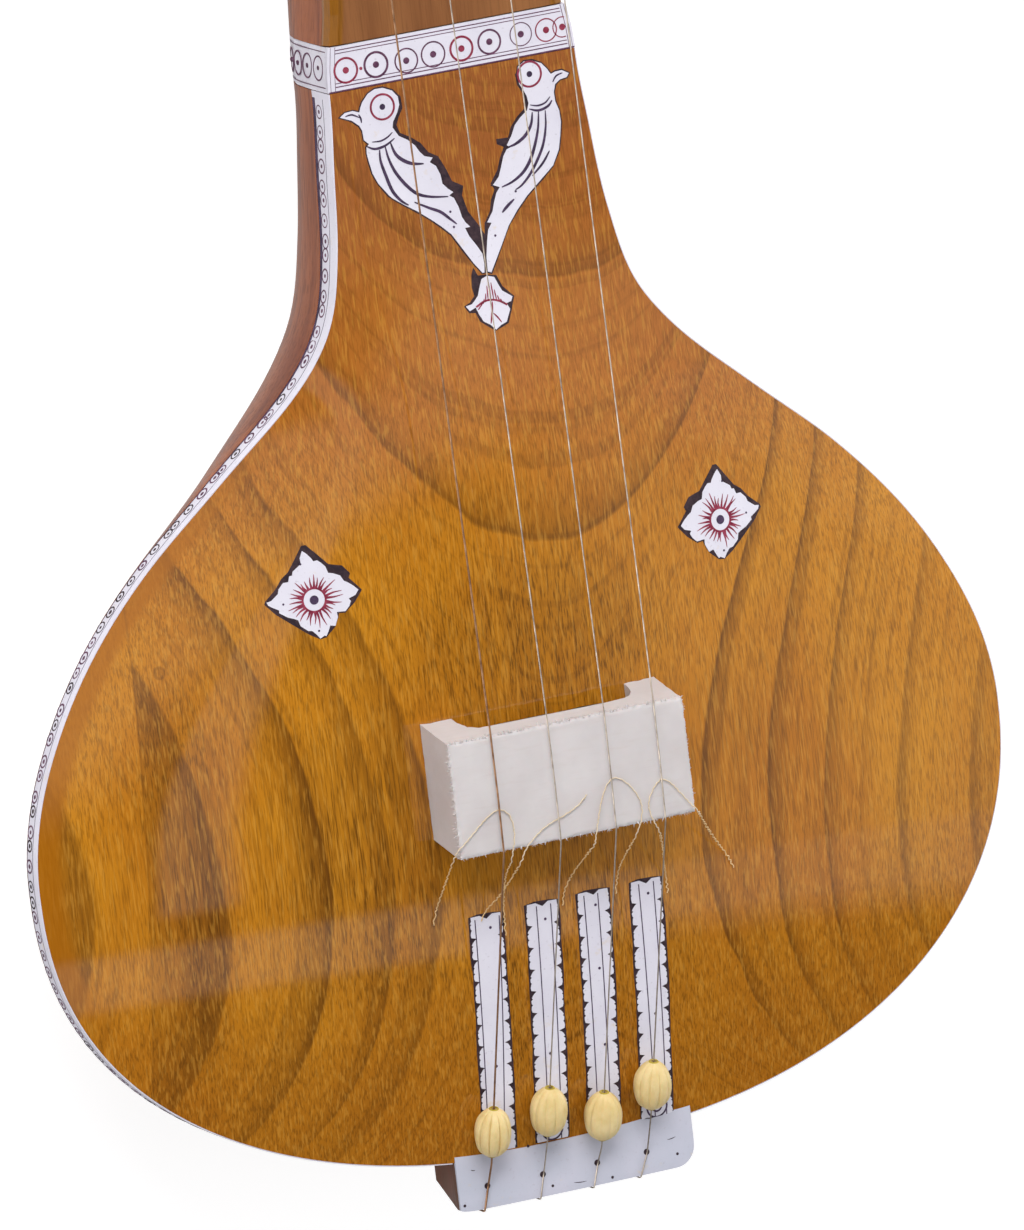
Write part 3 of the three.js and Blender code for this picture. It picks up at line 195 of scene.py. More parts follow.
class Station:
    """A place on the right-hand rim; inset(d) is the rim moved inwards by d."""

    def __init__(self, y=None, share=None):
        self.share = share
        if share is None:
            h = BOWL_TO_BAND / 500
            slope = (half_width(y + h) - half_width(max(y - h, 0.0))) / (2 * h)
            self.y, self.spine = y, y
            self.stretch = math.hypot(1, slope)
            self.nx, self.ny = 1 / self.stretch, -slope / self.stretch
        else:
            self.x = BOWL_HALF_WIDTH * share
            self.drop = (1 - share ** TAIL_POWER) ** (1 / TAIL_POWER)
            nx = share ** (TAIL_POWER - 1) / BOWL_HALF_WIDTH
            ny = -(self.drop ** (TAIL_POWER - 1)) / BOWL_TO_TAIL
            norm = math.hypot(nx, ny)
            self.nx, self.ny = nx / norm, ny / norm
            self.y, self.spine = -BOWL_TO_TAIL * self.drop, 0.0

    def inset(self, d):
        if self.share is None:
            return half_width(self.y) - d * self.stretch, self.y
        return self.x - self.nx * d, -BOWL_TO_TAIL * self.drop - self.ny * d


TAIL_CORNER_SHARE = (TAIL_HALF_WIDTH + TAIL_CORNER_GAP) / BOWL_HALF_WIDTH


def tail_shares(low, high, count):
    """Shares of the half width, evenly spread along the tail's curve."""
    top, bottom = math.acos(min(high, 1.0)), math.acos(low)
    return [math.cos(mix(top, bottom, i / count)) for i in range(count + 1)]


def upper_stations(low, high, count):
    return [Station(y=mix(high, low, i / count)) for i in range(count + 1)]


# Meshes
def place(p):
    return (p[0] * MM, p[1] * MM, (p[2] + LIFT) * MM)


def make_piece(name, points, faces, material, slot_name, body="body", angle=35, stands_for=()):
    mesh = bpy.data.meshes.new(name)
    mesh.from_pydata([place(p) for p in points], [], faces)
    work = bmesh.new()
    work.from_mesh(mesh)
    bmesh.ops.remove_doubles(work, verts=work.verts, dist=1e-7)
    bmesh.ops.dissolve_degenerate(work, edges=work.edges, dist=1e-8)
    bmesh.ops.recalc_face_normals(work, faces=work.faces)
    work.to_mesh(mesh)
    work.free()
    obj = bpy.data.objects.new(name, mesh)
    scene.collection.objects.link(obj)
    dress(obj, material, body, angle, stands_for)
    return obj


def dress(obj, material, body, angle, stands_for):
    obj.data.materials.clear()
    obj.data.materials.append(material)
    obj.data.shade_smooth()
    obj.data.set_sharp_from_angle(angle=math.radians(angle))
    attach(obj, body)
    if stands_for:
        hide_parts(*stands_for)


def turns(count):
    return [2 * math.pi * i / count for i in range(count)]


def ring_points(centre, u, v, radius, sides):
    return [centre + (u * math.cos(a) + v * math.sin(a)) * radius for a in turns(sides)]


def rows_faces(count, rows, looped=True, ring=False):
    faces = []
    for i in range(rows if ring else rows - 1):
        for j in range(count if looped else count - 1):
            a, b = i * count + j, i * count + (j + 1) % count
            c, d = ((i + 1) % rows) * count + j, ((i + 1) % rows) * count + (j + 1) % count
            faces.append((a, b, d, c))
    if not ring:
        faces.append(tuple(range(count))[::-1])
        faces.append(tuple((rows - 1) * count + j for j in range(count)))
    return faces


def rows_piece(name, rows, material, slot_name, looped=True, ring=False, **options):
    points = [p for row in rows for p in row]
    faces = rows_faces(len(rows[0]), len(rows), looped, ring)
    make_piece(name, points, faces, material, slot_name, **options)


# Heights of drawn lines, dots and circles over the sheet that they lie on
CUT_HEIGHT, LINE_HEIGHT, CIRCLE_HEIGHT = 0.03, 0.04, 0.05


class Gather:
    """Many small closed bits that become one piece."""

    def __init__(self):
        self.points, self.faces = [], []

    def add(self, points, faces):
        start = len(self.points)
        self.points.extend(points)
        self.faces.extend([tuple(start + i for i in face) for face in faces])

    def rows(self, rows, **shape):
        self.add([p for row in rows for p in row], rows_faces(len(rows[0]), len(rows), **shape))

    def stroke(self, path, widths, lift_at, height, closed=False, sink=0.05):
        """A flat line along points of a surface. lift_at: the normals, by point or as a list."""
        rows = []
        total = len(path)
        for i, p in enumerate(path):
            p = Vector(p)
            before = Vector(path[i - 1]) if (i > 0 or closed) else p
            after = Vector(path[(i + 1) % total]) if (i + 1 < total or closed) else p
            along = (after - before).normalized()
            normal = Vector(lift_at(p) if callable(lift_at) else lift_at[i])
            side = along.cross(normal).normalized()
            w = widths[i] if hasattr(widths, "__len__") else widths
            up, low = normal * height, normal * -sink
            half = side * w / 2
            rows.append([p + half + up, p - half + up, p - half + low, p + half + low])
        self.rows(rows, ring=closed)

    def disc(self, centre, radius, normal, height, sides=14, sink=0.05):
        normal = Vector(normal)
        u = normal.orthogonal().normalized()
        rim = ring_points(Vector(centre), u, normal.cross(u), radius, sides)
        self.rows([[p - normal * sink for p in rim], [p + normal * height for p in rim]])

    def circle(self, centre, radius, width, normal, height, sides=28, axis=None):
        normal = Vector(normal)
        u = Vector(axis).normalized() if axis is not None else normal.orthogonal().normalized()
        path = ring_points(Vector(centre), u, normal.cross(u), radius, sides)
        self.stroke(path, width, lambda p: normal, height, closed=True)

    def piece(self, name, material, slot_name, **options):
        return make_piece(name, self.points, self.faces, material, slot_name, **options)


def spline(points, per=6):
    """Catmull-Rom line through points of any dimension."""
    pts = [Vector(p) for p in points]
    out = []
    for p0, p1, p2, p3 in zip([pts[0]] + pts, pts, pts[1:], pts[2:] + [pts[-1]]):
        for k in range(per):
            t = k / per
            out.append(
                0.5 * ((2 * p1) + (p2 - p0) * t + (2 * p0 - 5 * p1 + 4 * p2 - p3) * t * t
                       + (3 * p1 - p0 - 3 * p2 + p3) * t * t * t)
            )
    out.append(pts[-1])
    return out


def frames_along(points):
    """Each point of a line with two directions across it, kept from twisting."""
    frames, u = [], None
    for i, p in enumerate(points):
        along = (points[min(i + 1, len(points) - 1)] - points[max(i - 1, 0)]).normalized()
        if u is None:
            u = along.orthogonal().normalized()
        u = (u - along * u.dot(along)).normalized()
        frames.append((p, u, along.cross(u)))
    return frames


def both_sides(rows):
    """Rows from the middle to the right-hand rim, joined to their mirror images."""
    return [*[mirrored(r) for r in rows[:-1]], *rows[::-1]]


# Materials
class Nodes:
    """Nodes of one tree, written as expressions."""

    def __init__(self, tree):
        self.tree = tree

    def node(self, kind, **properties):
        made = self.tree.nodes.new(kind)
        for key, value in properties.items():
            setattr(made, key, value)
        return made

    def plug(self, socket, value):
        if isinstance(value, bpy.types.NodeSocket):
            self.tree.links.new(value, socket)
        else:
            socket.default_value = value

    def math(self, operation, *values, clamp=False):
        made = self.node("ShaderNodeMath", operation=operation, use_clamp=clamp)
        for socket, value in zip(made.inputs, values):
            self.plug(socket, value)
        return made.outputs[0]

    def plus(self, a, b):
        return self.math("ADD", a, b)

    def minus(self, a, b):
        return self.math("SUBTRACT", a, b)

    def times(self, a, b, clamp=False):
        return self.math("MULTIPLY", a, b, clamp=clamp)

    def over(self, a, b):
        return self.math("DIVIDE", a, b)

    def most(self, a, b):
        return self.math("MAXIMUM", a, b)

    def size_of(self, a):
        return self.math("ABSOLUTE", a)

    def span(self, value, from_low, from_high, to_low=0.0, to_high=1.0, kind="LINEAR"):
        made = self.node("ShaderNodeMapRange", interpolation_type=kind)
        for socket, v in zip(made.inputs, (value, from_low, from_high, to_low, to_high)):
            self.plug(socket, v)
        return made.outputs[0]

    def soft(self, *values):
        return self.span(*values, kind="SMOOTHSTEP")

    def shader(self, kind, colour, strength=None):
        made = self.node(kind)
        made.inputs[0].default_value = (*colour, 1)
        if strength is not None:
            self.plug(made.inputs[1], strength)
        return made.outputs[0]

    def choose_by_camera(self, out_kind, others, seen):
        """One shader for what the camera sees straight away, another for all other rays."""
        choose = self.node("ShaderNodeMixShader")
        path = self.node("ShaderNodeLightPath")
        for socket, value in zip(choose.inputs, (path.outputs["Is Camera Ray"], others, seen)):
            self.plug(socket, value)
        self.plug(self.node(out_kind).inputs[0], choose.outputs[0])


class Shade(Nodes):
    """One material: its surface, and the nodes before it."""

    def __init__(self, name, coat=None, scatter=None, **surface):
        self.material = bpy.data.materials.new(name)
        self.material.use_nodes = True
        super().__init__(self.material.node_tree)
        self.surface = self.tree.nodes["Principled BSDF"]
        self.at = self.node("ShaderNodeTexCoord").outputs["Object"]
        if coat:
            surface["coat_weight"], surface["coat_roughness"] = coat
        if scatter:
            surface["subsurface_weight"], surface["subsurface_scale"] = scatter
        for key, value in surface.items():
            label = key.replace("_", " ").title().replace("Ior", "IOR")
            self.surface.inputs[label].default_value = value

    def scaled(self, factors, offset=(0, 0, 0)):
        made = self.node("ShaderNodeMapping")
        self.plug(made.inputs["Vector"], self.at)
        made.inputs["Scale"].default_value = factors
        made.inputs["Location"].default_value = offset
        return made.outputs[0]

    def noise(self, vector, scale, detail=3.0, roughness=0.55, distortion=0.0):
        made = self.node("ShaderNodeTexNoise")
        self.plug(made.inputs["Vector"], vector)
        made.inputs["Scale"].default_value = scale
        made.inputs["Detail"].default_value = detail
        made.inputs["Roughness"].default_value = roughness
        made.inputs["Distortion"].default_value = distortion
        return made.outputs[0]

    def ramp(self, value, stops):
        """A grey level from a table of (place, level) pairs."""
        made = self.node("ShaderNodeValToRGB")
        elements = made.color_ramp.elements
        while len(elements) < len(stops):
            elements.new(0.5)
        for element, (at, level) in zip(elements, sorted(stops, key=lambda s: s[0])):
            element.position = at
            element.color = (level, level, level, 1)
        self.plug(made.inputs[0], value)
        return made.outputs[0]

    def blend(self, share, a, b):
        made = self.node("ShaderNodeMix", data_type="RGBA")
        self.plug(made.inputs[0], share)
        for socket, value in ((made.inputs[6], a), (made.inputs[7], b)):
            self.plug(socket, (*value, 1) if isinstance(value, tuple) else value)
        return made.outputs[2]

    def mottle(self, value, low, high, colour, other):
        return self.blend(self.span(value, low, high), colour, other)

    def combined(self, x, y, z):
        made = self.node("ShaderNodeCombineXYZ")
        for socket, value in zip(made.inputs, (x, y, z)):
            self.plug(socket, value)
        return made.outputs[0]

    def colour(self, value):
        self.plug(self.surface.inputs["Base Color"], value)

    def rough(self, value):
        self.plug(self.surface.inputs["Roughness"], value)

    def bump(self, value, strength, distance):
        made = self.node("ShaderNodeBump")
        made.inputs["Strength"].default_value = strength
        made.inputs["Distance"].default_value = distance
        self.plug(made.inputs["Height"], value)
        self.plug(self.surface.inputs["Normal"], made.outputs[0])


def srgb(r, g, b):
    """A colour given as screen values from 0 to 255."""
    shares = (r / 255, g / 255, b / 255)
    return tuple(((v + 0.055) / 1.055) ** 2.4 if v > 0.04 else v / 12.92 for v in shares)


# Growth lines of the soundboard: distance in mm from the heart of the pattern, negative for the
# lines that arch across the grain, and points on the line as x and y in mm
GROWTH_LINES = [
    (44, [
        (-87.3, 127.5), (-77.3, 112.5), (-71, 100), (-61, 72.5), (-49.8, 45), (-43.5, 12.5),
        (-40.4, -21.3), (-43.5, -50), (-56, -75), (-76, -101.3),
    ]),
    (60, [
        (-96, 115), (-82.3, 85), (-71, 55), (-61, 22.5), (-57.3, -12.5), (-59.8, -47.5), (-76, -75),
        (-94.8, -100),
    ]),
    (81, [
        (-113.5, 100), (-98.5, 67.5), (-86, 35), (-79.8, 3.8), (-79.1, -33.8), (-88.5, -65),
        (-113.5, -92.5),
    ]),
    (115, [
        (-132.9, 67.5), (-121, 42.5), (-114.1, 10), (-113.5, -21.3), (-116, -46.3), (-128.5, -67.5),
    ]),
    (50, [
        (99, 97.5), (84, 67.5), (71.5, 40), (57.8, 10), (52.1, -21.3), (56.5, -51.3), (69, -80),
        (84, -101.3),
    ]),
    (74, [
        (115.9, 98.8), (97.8, 65), (85.3, 26.3), (77.5, -6.3), (77.5, -40), (85.9, -75),
        (97.8, -100),
    ]),
    (96, [(131.5, 81.3), (114, 50), (105.3, 18.8), (99, -15), (100.9, -52.5), (110.3, -83.8)]),
    (126, [(152, 61), (137.8, 35), (130.3, 3.8), (129, -33.8), (132.8, -71)]),
    (155, [(169, 16), (159, -15), (157, -46)]),
    (-42, [
        (-58.5, 152.5), (-41, 125), (-23.5, 102.5), (-1, 87.5), (24, 87.5), (44, 102.5),
        (76.5, 132.5),
    ]),
    (-92, [(-43.5, 216), (-21, 195), (-1, 176), (21.5, 166.8), (46.5, 171)]),
    (0, [(0, 35)]),
]
FIELD_DEGREE = 5
FIELD_UNIT = 100.0


def growth_terms():
    """Coefficients of a smooth surface over x and y that has the growth lines as its contours."""
    powers = [(i, j) for i in range(FIELD_DEGREE + 1) for j in range(FIELD_DEGREE + 1 - i)]
    rows, wanted = [], []
    for value, points in GROWTH_LINES:
        height = math.copysign((value / FIELD_UNIT) ** 2, value)
        weight = 0.5 / max(abs(value) / FIELD_UNIT, 0.35)
        for x, y in points:
            rows.append([weight * (x / FIELD_UNIT) ** i * (y / FIELD_UNIT) ** j for i, j in powers])
            wanted.append(weight * height)
    for k, (i, j) in enumerate(powers):
        rows.append([0.01 * (i + j) / FIELD_DEGREE if k == n else 0.0 for n in range(len(powers))])
        wanted.append(0.0)
    return dict(zip(powers, np.linalg.lstsq(np.array(rows), np.array(wanted), rcond=None)[0]))


RING_SPAN = 200.0

# Growth lines that show: distance from the heart, strength and how far the dark side fades
LEFT_RINGS = [
    (44, 0.8, 14), (60, 0.75, 9), (81, 1, 14), (98, 0.25, 6), (115, 0.85, 42), (160, 0.3, 8),
]
RIGHT_RINGS = [
    (50, 1, 8), (62, 0.25, 4), (74, 1, 8), (96, 0.85, 7), (111, 0.3, 5), (126, 0.7, 7),
    (155, 0.6, 8),
]
ARCH_RINGS = [
    (42, 0.75, 10), (60, 0.2, 6), (92, 0.7, 12), (108, 0.2, 5), (118, 0.25, 5), (132, 0.35, 8),
]


def ring_stops(rings):
    """Each ring starts sharply on its inner side and fades on its outer side."""
    stops = [(0.0, 0.0)]
    for i, (at, strength, fade) in enumerate(rings):
        after = rings[i + 1][0] if i + 1 < len(rings) else RING_SPAN
        reach = min(fade, after - at - 2.5)
        stops += [(at - 0.6, 0.0), (at, strength)]
        stops += [(at + 0.3 * reach, 0.5 * strength), (at + reach, 0.0)]
    return [(at / RING_SPAN, value) for at, value in stops]


def millimetres(shade):
    parts = shade.node("ShaderNodeSeparateXYZ")
    shade.plug(parts.inputs[0], shade.at)
    return [shade.times(parts.outputs[k], 1000.0) for k in range(3)]


def growth_distance(shade, x, y):
    """Signed distance in mm from the heart of the pattern, and the same without its sign."""
    terms = growth_terms()
    wave = shade.noise(shade.scaled((1.0, 0.45, 1.0)), 16.0, 3.0, 0.5)
    ripple = shade.noise(shade.scaled((1.0, 0.3, 1.0), (0.3, 0.1, 0)), 90.0, 2.0, 0.5)
    off = shade.plus(shade.span(wave, 0.0, 1.0, -5.0, 5.0), shade.span(ripple, 0.0, 1.0, -1.3, 1.3))
    u = shade.over(shade.plus(x, off), FIELD_UNIT)
    v = shade.over(shade.plus(y, off), FIELD_UNIT)
    total = 0.0
    for i in range(FIELD_DEGREE, -1, -1):
        part = terms[(i, FIELD_DEGREE - i)]
        for j in range(FIELD_DEGREE - i - 1, -1, -1):
            part = shade.math("MULTIPLY_ADD", part, v, terms[(i, j)])
        total = shade.math("MULTIPLY_ADD", total, u, part)
    size = shade.times(shade.math("SQRT", shade.size_of(total)), FIELD_UNIT)
    return shade.times(size, shade.math("SIGN", total)), size


def blob(shade, x, y, at, reach):
    """A soft round patch: one in the middle, nothing at its reach."""
    dx = shade.over(shade.minus(x, at[0]), reach[0])
    dy = shade.over(shade.minus(y, at[1]), reach[1])
    far = shade.plus(shade.times(dx, dx), shade.times(dy, dy))
    return shade.soft(far, 1.0, 0.0)


# Tones of the lacquered soundboard
GOLD = srgb(195, 129, 26)
AMBER = srgb(175, 107, 20)
RED_AMBER = srgb(165, 96, 39)
THROAT_BROWN = srgb(144, 82, 40)
LOW_AMBER = srgb(150, 88, 14)
OLIVE = srgb(148, 92, 18)
LINE_DARK = srgb(84, 46, 8)
PORE_DARK = srgb(78, 44, 4)
RIM_AMBER = srgb(160, 94, 5)
SEAM_AT, SEAM_LEAN = -137.6, 0.068
KNOT = (-124.7, 65.8)
RIM_STOPS = 29


def board_half_width(y):
    if y > 0:
        return half_width(y)
    return BOWL_HALF_WIDTH * (1 - (-y / BOWL_TO_TAIL) ** TAIL_POWER) ** (1 / TAIL_POWER)


def rim_gap(shade, x, y):
    """How far in mm a point of the face lies inside the bowl's rim."""
    stops = []
    for i in range(RIM_STOPS):
        share = i / (RIM_STOPS - 1)
        wide = board_half_width(mix(-BOWL_TO_TAIL, BOWL_TO_BAND, share))
        stops.append((share, wide / RING_SPAN))
    share = shade.over(shade.plus(y, BOWL_TO_TAIL), BOWL_TO_TAIL + BOWL_TO_BAND)
    wide = shade.times(shade.ramp(share, stops), RING_SPAN)
    return shade.minus(wide, shade.size_of(x))


def soundboard_look():
    shade = Shade("face_wood_look", coat=(1.0, 0.045), specular_ior_level=0.04)
    x, y, _ = millimetres(shade)
    signed, size = growth_distance(shade, x, y)
    share = shade.over(size, RING_SPAN)
    left = shade.ramp(share, ring_stops(LEFT_RINGS))
    right = shade.ramp(share, ring_stops(RIGHT_RINGS))
    across = shade.ramp(share, ring_stops(ARCH_RINGS))
    sides = shade.blend(shade.math("GREATER_THAN", x, 0.0), left, right)
    rings = shade.blend(shade.math("LESS_THAN", signed, 0.0), sides, across)

    # The plank at the left edge, past the glued seam
    seam = shade.minus(x, shade.math("MULTIPLY_ADD", y, SEAM_LEAN, SEAM_AT))
    beyond = shade.math("LESS_THAN", seam, 0.0)
    bow = shade.math("POWER", shade.over(shade.plus(y, 5.0), 13.3), 2.0)
    arc = shade.minus(shade.minus(-156.0, bow), x)
    edge_ring = shade.times(shade.soft(arc, -1.0, 1.0), shade.span(arc, 0.0, 22.0, 0.75, 0.2))
    rings = shade.blend(beyond, rings, edge_ring)
    seam_line = shade.span(shade.size_of(seam), 0.15, 0.5, 0.25, 0.0)

    fine = shade.combined(shade.times(signed, 0.34), shade.times(y, 0.012), 0.0)
    fine = shade.noise(fine, 1.0, 2.0, 0.6)
    fine = shade.soft(fine, 0.52, 0.66)

    patch = shade.noise(shade.scaled((1.0, 0.5, 1.0), (0.15, 0.4, 0)), 17.0, 3.0, 0.6)
    streak = shade.noise(shade.scaled((1.0, 0.035, 1.0), (0.5, 0.2, 0)), 330.0, 4.0, 0.65)
    base = shade.mottle(patch, 0.34, 0.68, AMBER, GOLD)
    top = shade.soft(y, 80.0, 150.0)
    base = shade.blend(shade.times(top, 0.75), base, RED_AMBER)
    base = shade.blend(shade.soft(y, 150.0, 225.0, 0.0, 0.7), base, THROAT_BROWN)
    base = shade.blend(shade.soft(y, -30.0, -90.0, 0.0, 0.6), base, LOW_AMBER)
    heart = blob(shade, x, y, (4.0, 48.0), (62.0, 46.0))
    under = blob(shade, x, y, (2.0, -52.0), (56.0, 56.0))
    inner = blob(shade, x, y, (-66.0, -8.0), (34.0, 62.0))
    tongue = blob(shade, x, y, (-124.0, -4.0), (17.0, 78.0))
    shadows = shade.most(shade.most(heart, inner), shade.most(under, tongue))
    mottle = shade.times(shadows, shade.span(streak, 0.36, 0.6, 0.35, 1.0))
    base = shade.blend(shade.times(mottle, 0.75, clamp=True), base, OLIVE)
    base = shade.blend(shade.times(fine, 0.22), base, LINE_DARK)
    uneven = shade.span(streak, 0.3, 0.7, 0.65, 1.0)
    uneven = shade.times(uneven, shade.soft(y, -105.0, -50.0, 0.5, 1.0))
    base = shade.blend(shade.times(shade.times(rings, uneven), 0.9, clamp=True), base, LINE_DARK)

    long_pores = shade.noise(shade.scaled((1.0, 0.04, 1.0)), 2200.0, 2.0, 0.6)
    short_pores = shade.noise(shade.scaled((1.0, 0.09, 1.0), (0.2, 0.7, 0)), 2200.0, 2.0, 0.6)
    flat = blob(shade, x, y, (-20.0, -14.0), (190.0, 62.0))
    pores = shade.blend(shade.times(flat, 1.4, clamp=True), short_pores, long_pores)
    pores = shade.ramp(pores, [(0.37, 1.0), (0.45, 0.5), (0.52, 0.0)])
    depth = shade.math("MULTIPLY_ADD", mottle, 0.3, 0.44)
    depth = shade.times(depth, shade.soft(y, 110.0, 170.0, 1.0, 0.62))
    base = shade.blend(shade.times(pores, depth), base, PORE_DARK)
    light = shade.noise(shade.scaled((1.0, 0.09, 1.0), (0.1, 0.3, 0)), 1300.0, 2.0, 0.5)
    base = shade.blend(shade.soft(light, 0.5, 0.66, 0.0, 0.26), base, srgb(218, 158, 62))
    gap = rim_gap(shade, x, y)
    rim = shade.times(shade.soft(gap, 10.0, 5.0), shade.soft(x, 10.0, -60.0))
    rim = shade.times(rim, shade.times(shade.soft(y, -60.0, -20.0), shade.soft(y, 150.0, 90.0)))
    base = shade.blend(shade.times(rim, 0.75), base, RIM_AMBER)
    knot = blob(shade, x, y, KNOT, (2.5, 2.8))
    ring = shade.times(shade.soft(knot, 0.0, 0.6), shade.soft(knot, 1.0, 0.75, 0.3))
    base = shade.blend(shade.times(ring, 0.4), base, LINE_DARK)
    base = shade.blend(seam_line, base, LINE_DARK)
    shade.colour(base)
    shade.rough(0.5)
    shade.bump(short_pores, 0.02, 0.0002)
    return shade.material


def neck_face_look():
    """The neck's face: brown across the middle, with an amber painted highlight along its rounded
    edges.
    """
    shade = Shade("neck_wood_look", coat=(1.0, 0.05), specular_ior_level=0.06)
    x, y, _ = millimetres(shade)
    slow = shade.noise(shade.scaled((1.0, 0.12, 1.0)), 60.0, 3.0, 0.6)
    base = shade.mottle(slow, 0.36, 0.64, srgb(128, 80, 45), srgb(149, 98, 57))
    bands = shade.noise(shade.scaled((1.0, 0.03, 1.0), (0.3, 0.1, 0)), 260.0, 3.0, 0.6)
    base = shade.blend(shade.span(bands, 0.5, 0.66, 0.0, 0.35), base, srgb(112, 66, 34))
    flare_end = BOWL_TO_BAND + NECK_FLARE_LENGTH
    wide = shade.soft(y, BOWL_TO_BAND, flare_end, NECK_LOW + NECK_FLARE, NECK_LOW)
    gap = shade.minus(wide, shade.size_of(x))
    # Painted highlight: amber towards the rounded edges of the face
    base = shade.blend(shade.soft(gap, 6.0, 4.4, 0.0, 0.85), base, srgb(140, 88, 10))
    line = shade.size_of(shade.minus(gap, 4.0))
    base = shade.blend(shade.soft(line, 0.8, 0.0, 0.0, 0.35), base, srgb(92, 52, 8))
    pores = shade.noise(shade.scaled((1.0, 0.03, 1.0)), 1400.0, 3.0, 0.65)
    pores = shade.ramp(pores, [(0.3, 1.0), (0.42, 0.45), (0.5, 0.0)])
    base = shade.blend(shade.times(pores, 0.3), base, srgb(66, 36, 14))
    shade.colour(base)
    shade.rough(0.45)
    shade.bump(pores, 0.02, 0.0002)
    return shade.material


def bowl_wood(name="bowl_wood_look", low=srgb(128, 64, 32), high=srgb(172, 98, 54)):
    shade = Shade(name, coat=(0.55, 0.1), specular_ior_level=0.04)
    slow = shade.noise(shade.scaled((1.0, 0.2, 1.0)), 24.0, 3.0)
    bands = shade.noise(shade.scaled((1.0, 0.06, 2.2)), 90.0, 3.0, 0.6, 0.4)
    grain = shade.noise(shade.scaled((1.0, 0.04, 1.0)), 800.0, 3.0, 0.6)
    base = shade.mottle(slow, 0.35, 0.65, low, high)
    base = shade.blend(shade.span(bands, 0.48, 0.68, 0.0, 0.65), base, srgb(104, 48, 28))
    base = shade.blend(shade.span(grain, 0.5, 0.35, 0.0, 0.4), base, srgb(80, 38, 22))
    shade.colour(base)
    shade.rough(shade.span(grain, 0.3, 0.7, 0.5, 0.4))
    shade.bump(grain, 0.06, 0.0002)
    return shade.material


def bare_wood():
    shade = Shade("bare_wood_look")
    grain = shade.noise(shade.scaled((1.0, 0.05, 1.0)), 300.0, 4.0, 0.6)
    shade.colour(shade.mottle(grain, 0.35, 0.65, srgb(150, 104, 62), srgb(196, 150, 98)))
    shade.rough(0.8)
    shade.bump(grain, 0.3, 0.0004)
    return shade.material


def white_sheet(name, warm=0.0, tint=srgb(222, 219, 230)):
    shade = Shade(name, coat=(0.25, 0.25), specular_ior_level=0.4)
    cloud = shade.noise(shade.at, 60.0, 4.0, 0.6)
    speck = shade.noise(shade.at, 900.0, 2.0, 0.6)
    stain = shade.noise(shade.scaled((1, 1, 1), (0.2, 0.5, 0.1)), 130.0, 4.0, 0.7)
    base = shade.blend(shade.span(cloud, 0.35, 0.7, 0.0, 0.5), tint, srgb(206, 202, 216))
    base = shade.blend(shade.span(stain, 0.62, 0.8, 0.0, 0.6 + warm), base, srgb(214, 190, 150))
    base = shade.blend(shade.span(speck, 0.64, 0.72, 0.0, 0.35), base, srgb(168, 160, 172))
    shade.colour(base)
    shade.rough(shade.span(cloud, 0.3, 0.7, 0.42, 0.3))
    shade.bump(speck, 0.08, 0.0001)
    return shade.material


def mastic(name, colour, other):
    shade = Shade(name, specular_ior_level=0.3)
    cloud = shade.noise(shade.at, 350.0, 4.0, 0.7)
    shade.colour(shade.mottle(cloud, 0.4, 0.62, colour, other))
    shade.rough(shade.span(cloud, 0.3, 0.7, 0.7, 0.5))
    shade.bump(cloud, 0.2, 0.0002)
    return shade.material


def bone_look():
    shade = Shade("bone_look", scatter=(0.08, 0.002), specular_ior_level=0.35)
    cloud = shade.noise(shade.at, 45.0, 4.0, 0.6)
    fibre = shade.noise(shade.scaled((0.15, 1.0, 1.0)), 500.0, 3.0, 0.6)
    scratch = shade.noise(shade.scaled((0.05, 1.0, 1.0), (0.1, 0, 0)), 1400.0, 2.0, 0.5)
    base = shade.mottle(cloud, 0.35, 0.68, srgb(197, 190, 190), srgb(207, 201, 201))
    base = shade.blend(shade.span(fibre, 0.55, 0.75, 0.0, 0.35), base, srgb(190, 178, 174))
    shade.colour(base)
    shade.rough(shade.span(scratch, 0.3, 0.7, 0.6, 0.42))
    shade.bump(scratch, 0.12, 0.0001)
    return shade.material


def bead_look():
    shade = Shade("bead_look", scatter=(0.1, 0.002), specular_ior_level=0.4)
    cloud = shade.noise(shade.at, 160.0, 4.0, 0.6)
    base = shade.mottle(cloud, 0.35, 0.68, srgb(212, 185, 124), srgb(228, 205, 150))
    shade.colour(base)
    shade.rough(shade.span(cloud, 0.3, 0.7, 0.5, 0.38))
    shade.bump(shade.noise(shade.at, 700.0, 3.0), 0.1, 0.0001)
    return shade.material


def wire(name, colour, dark, roughness):
    shade = Shade(name, metallic=1.0)
    wear = shade.noise(shade.at, 260.0, 3.0, 0.6)
    shade.colour(shade.mottle(wear, 0.35, 0.7, colour, dark))
    shade.rough(shade.span(wear, 0.3, 0.7, roughness, roughness + 0.15))
    return shade.material


def cotton_look():
    """Tan cotton, paler where it lies flat on the bridge."""
    shade = Shade("cotton_look", sheen_weight=0.3, specular_ior_level=0.15)
    fibre = shade.noise(shade.at, 2600.0, 3.0, 0.6)
    tan = shade.mottle(fibre, 0.35, 0.68, srgb(200, 158, 100), srgb(238, 208, 156))
    pale = shade.mottle(fibre, 0.35, 0.68, srgb(206, 184, 150), srgb(230, 214, 188))
    height = millimetres(shade)[2]
    shade.colour(shade.blend(shade.soft(height, 126.0, 130.0), tan, pale))
    shade.rough(0.9)
    shade.bump(fibre, 0.4, 0.0002)
    return shade.material


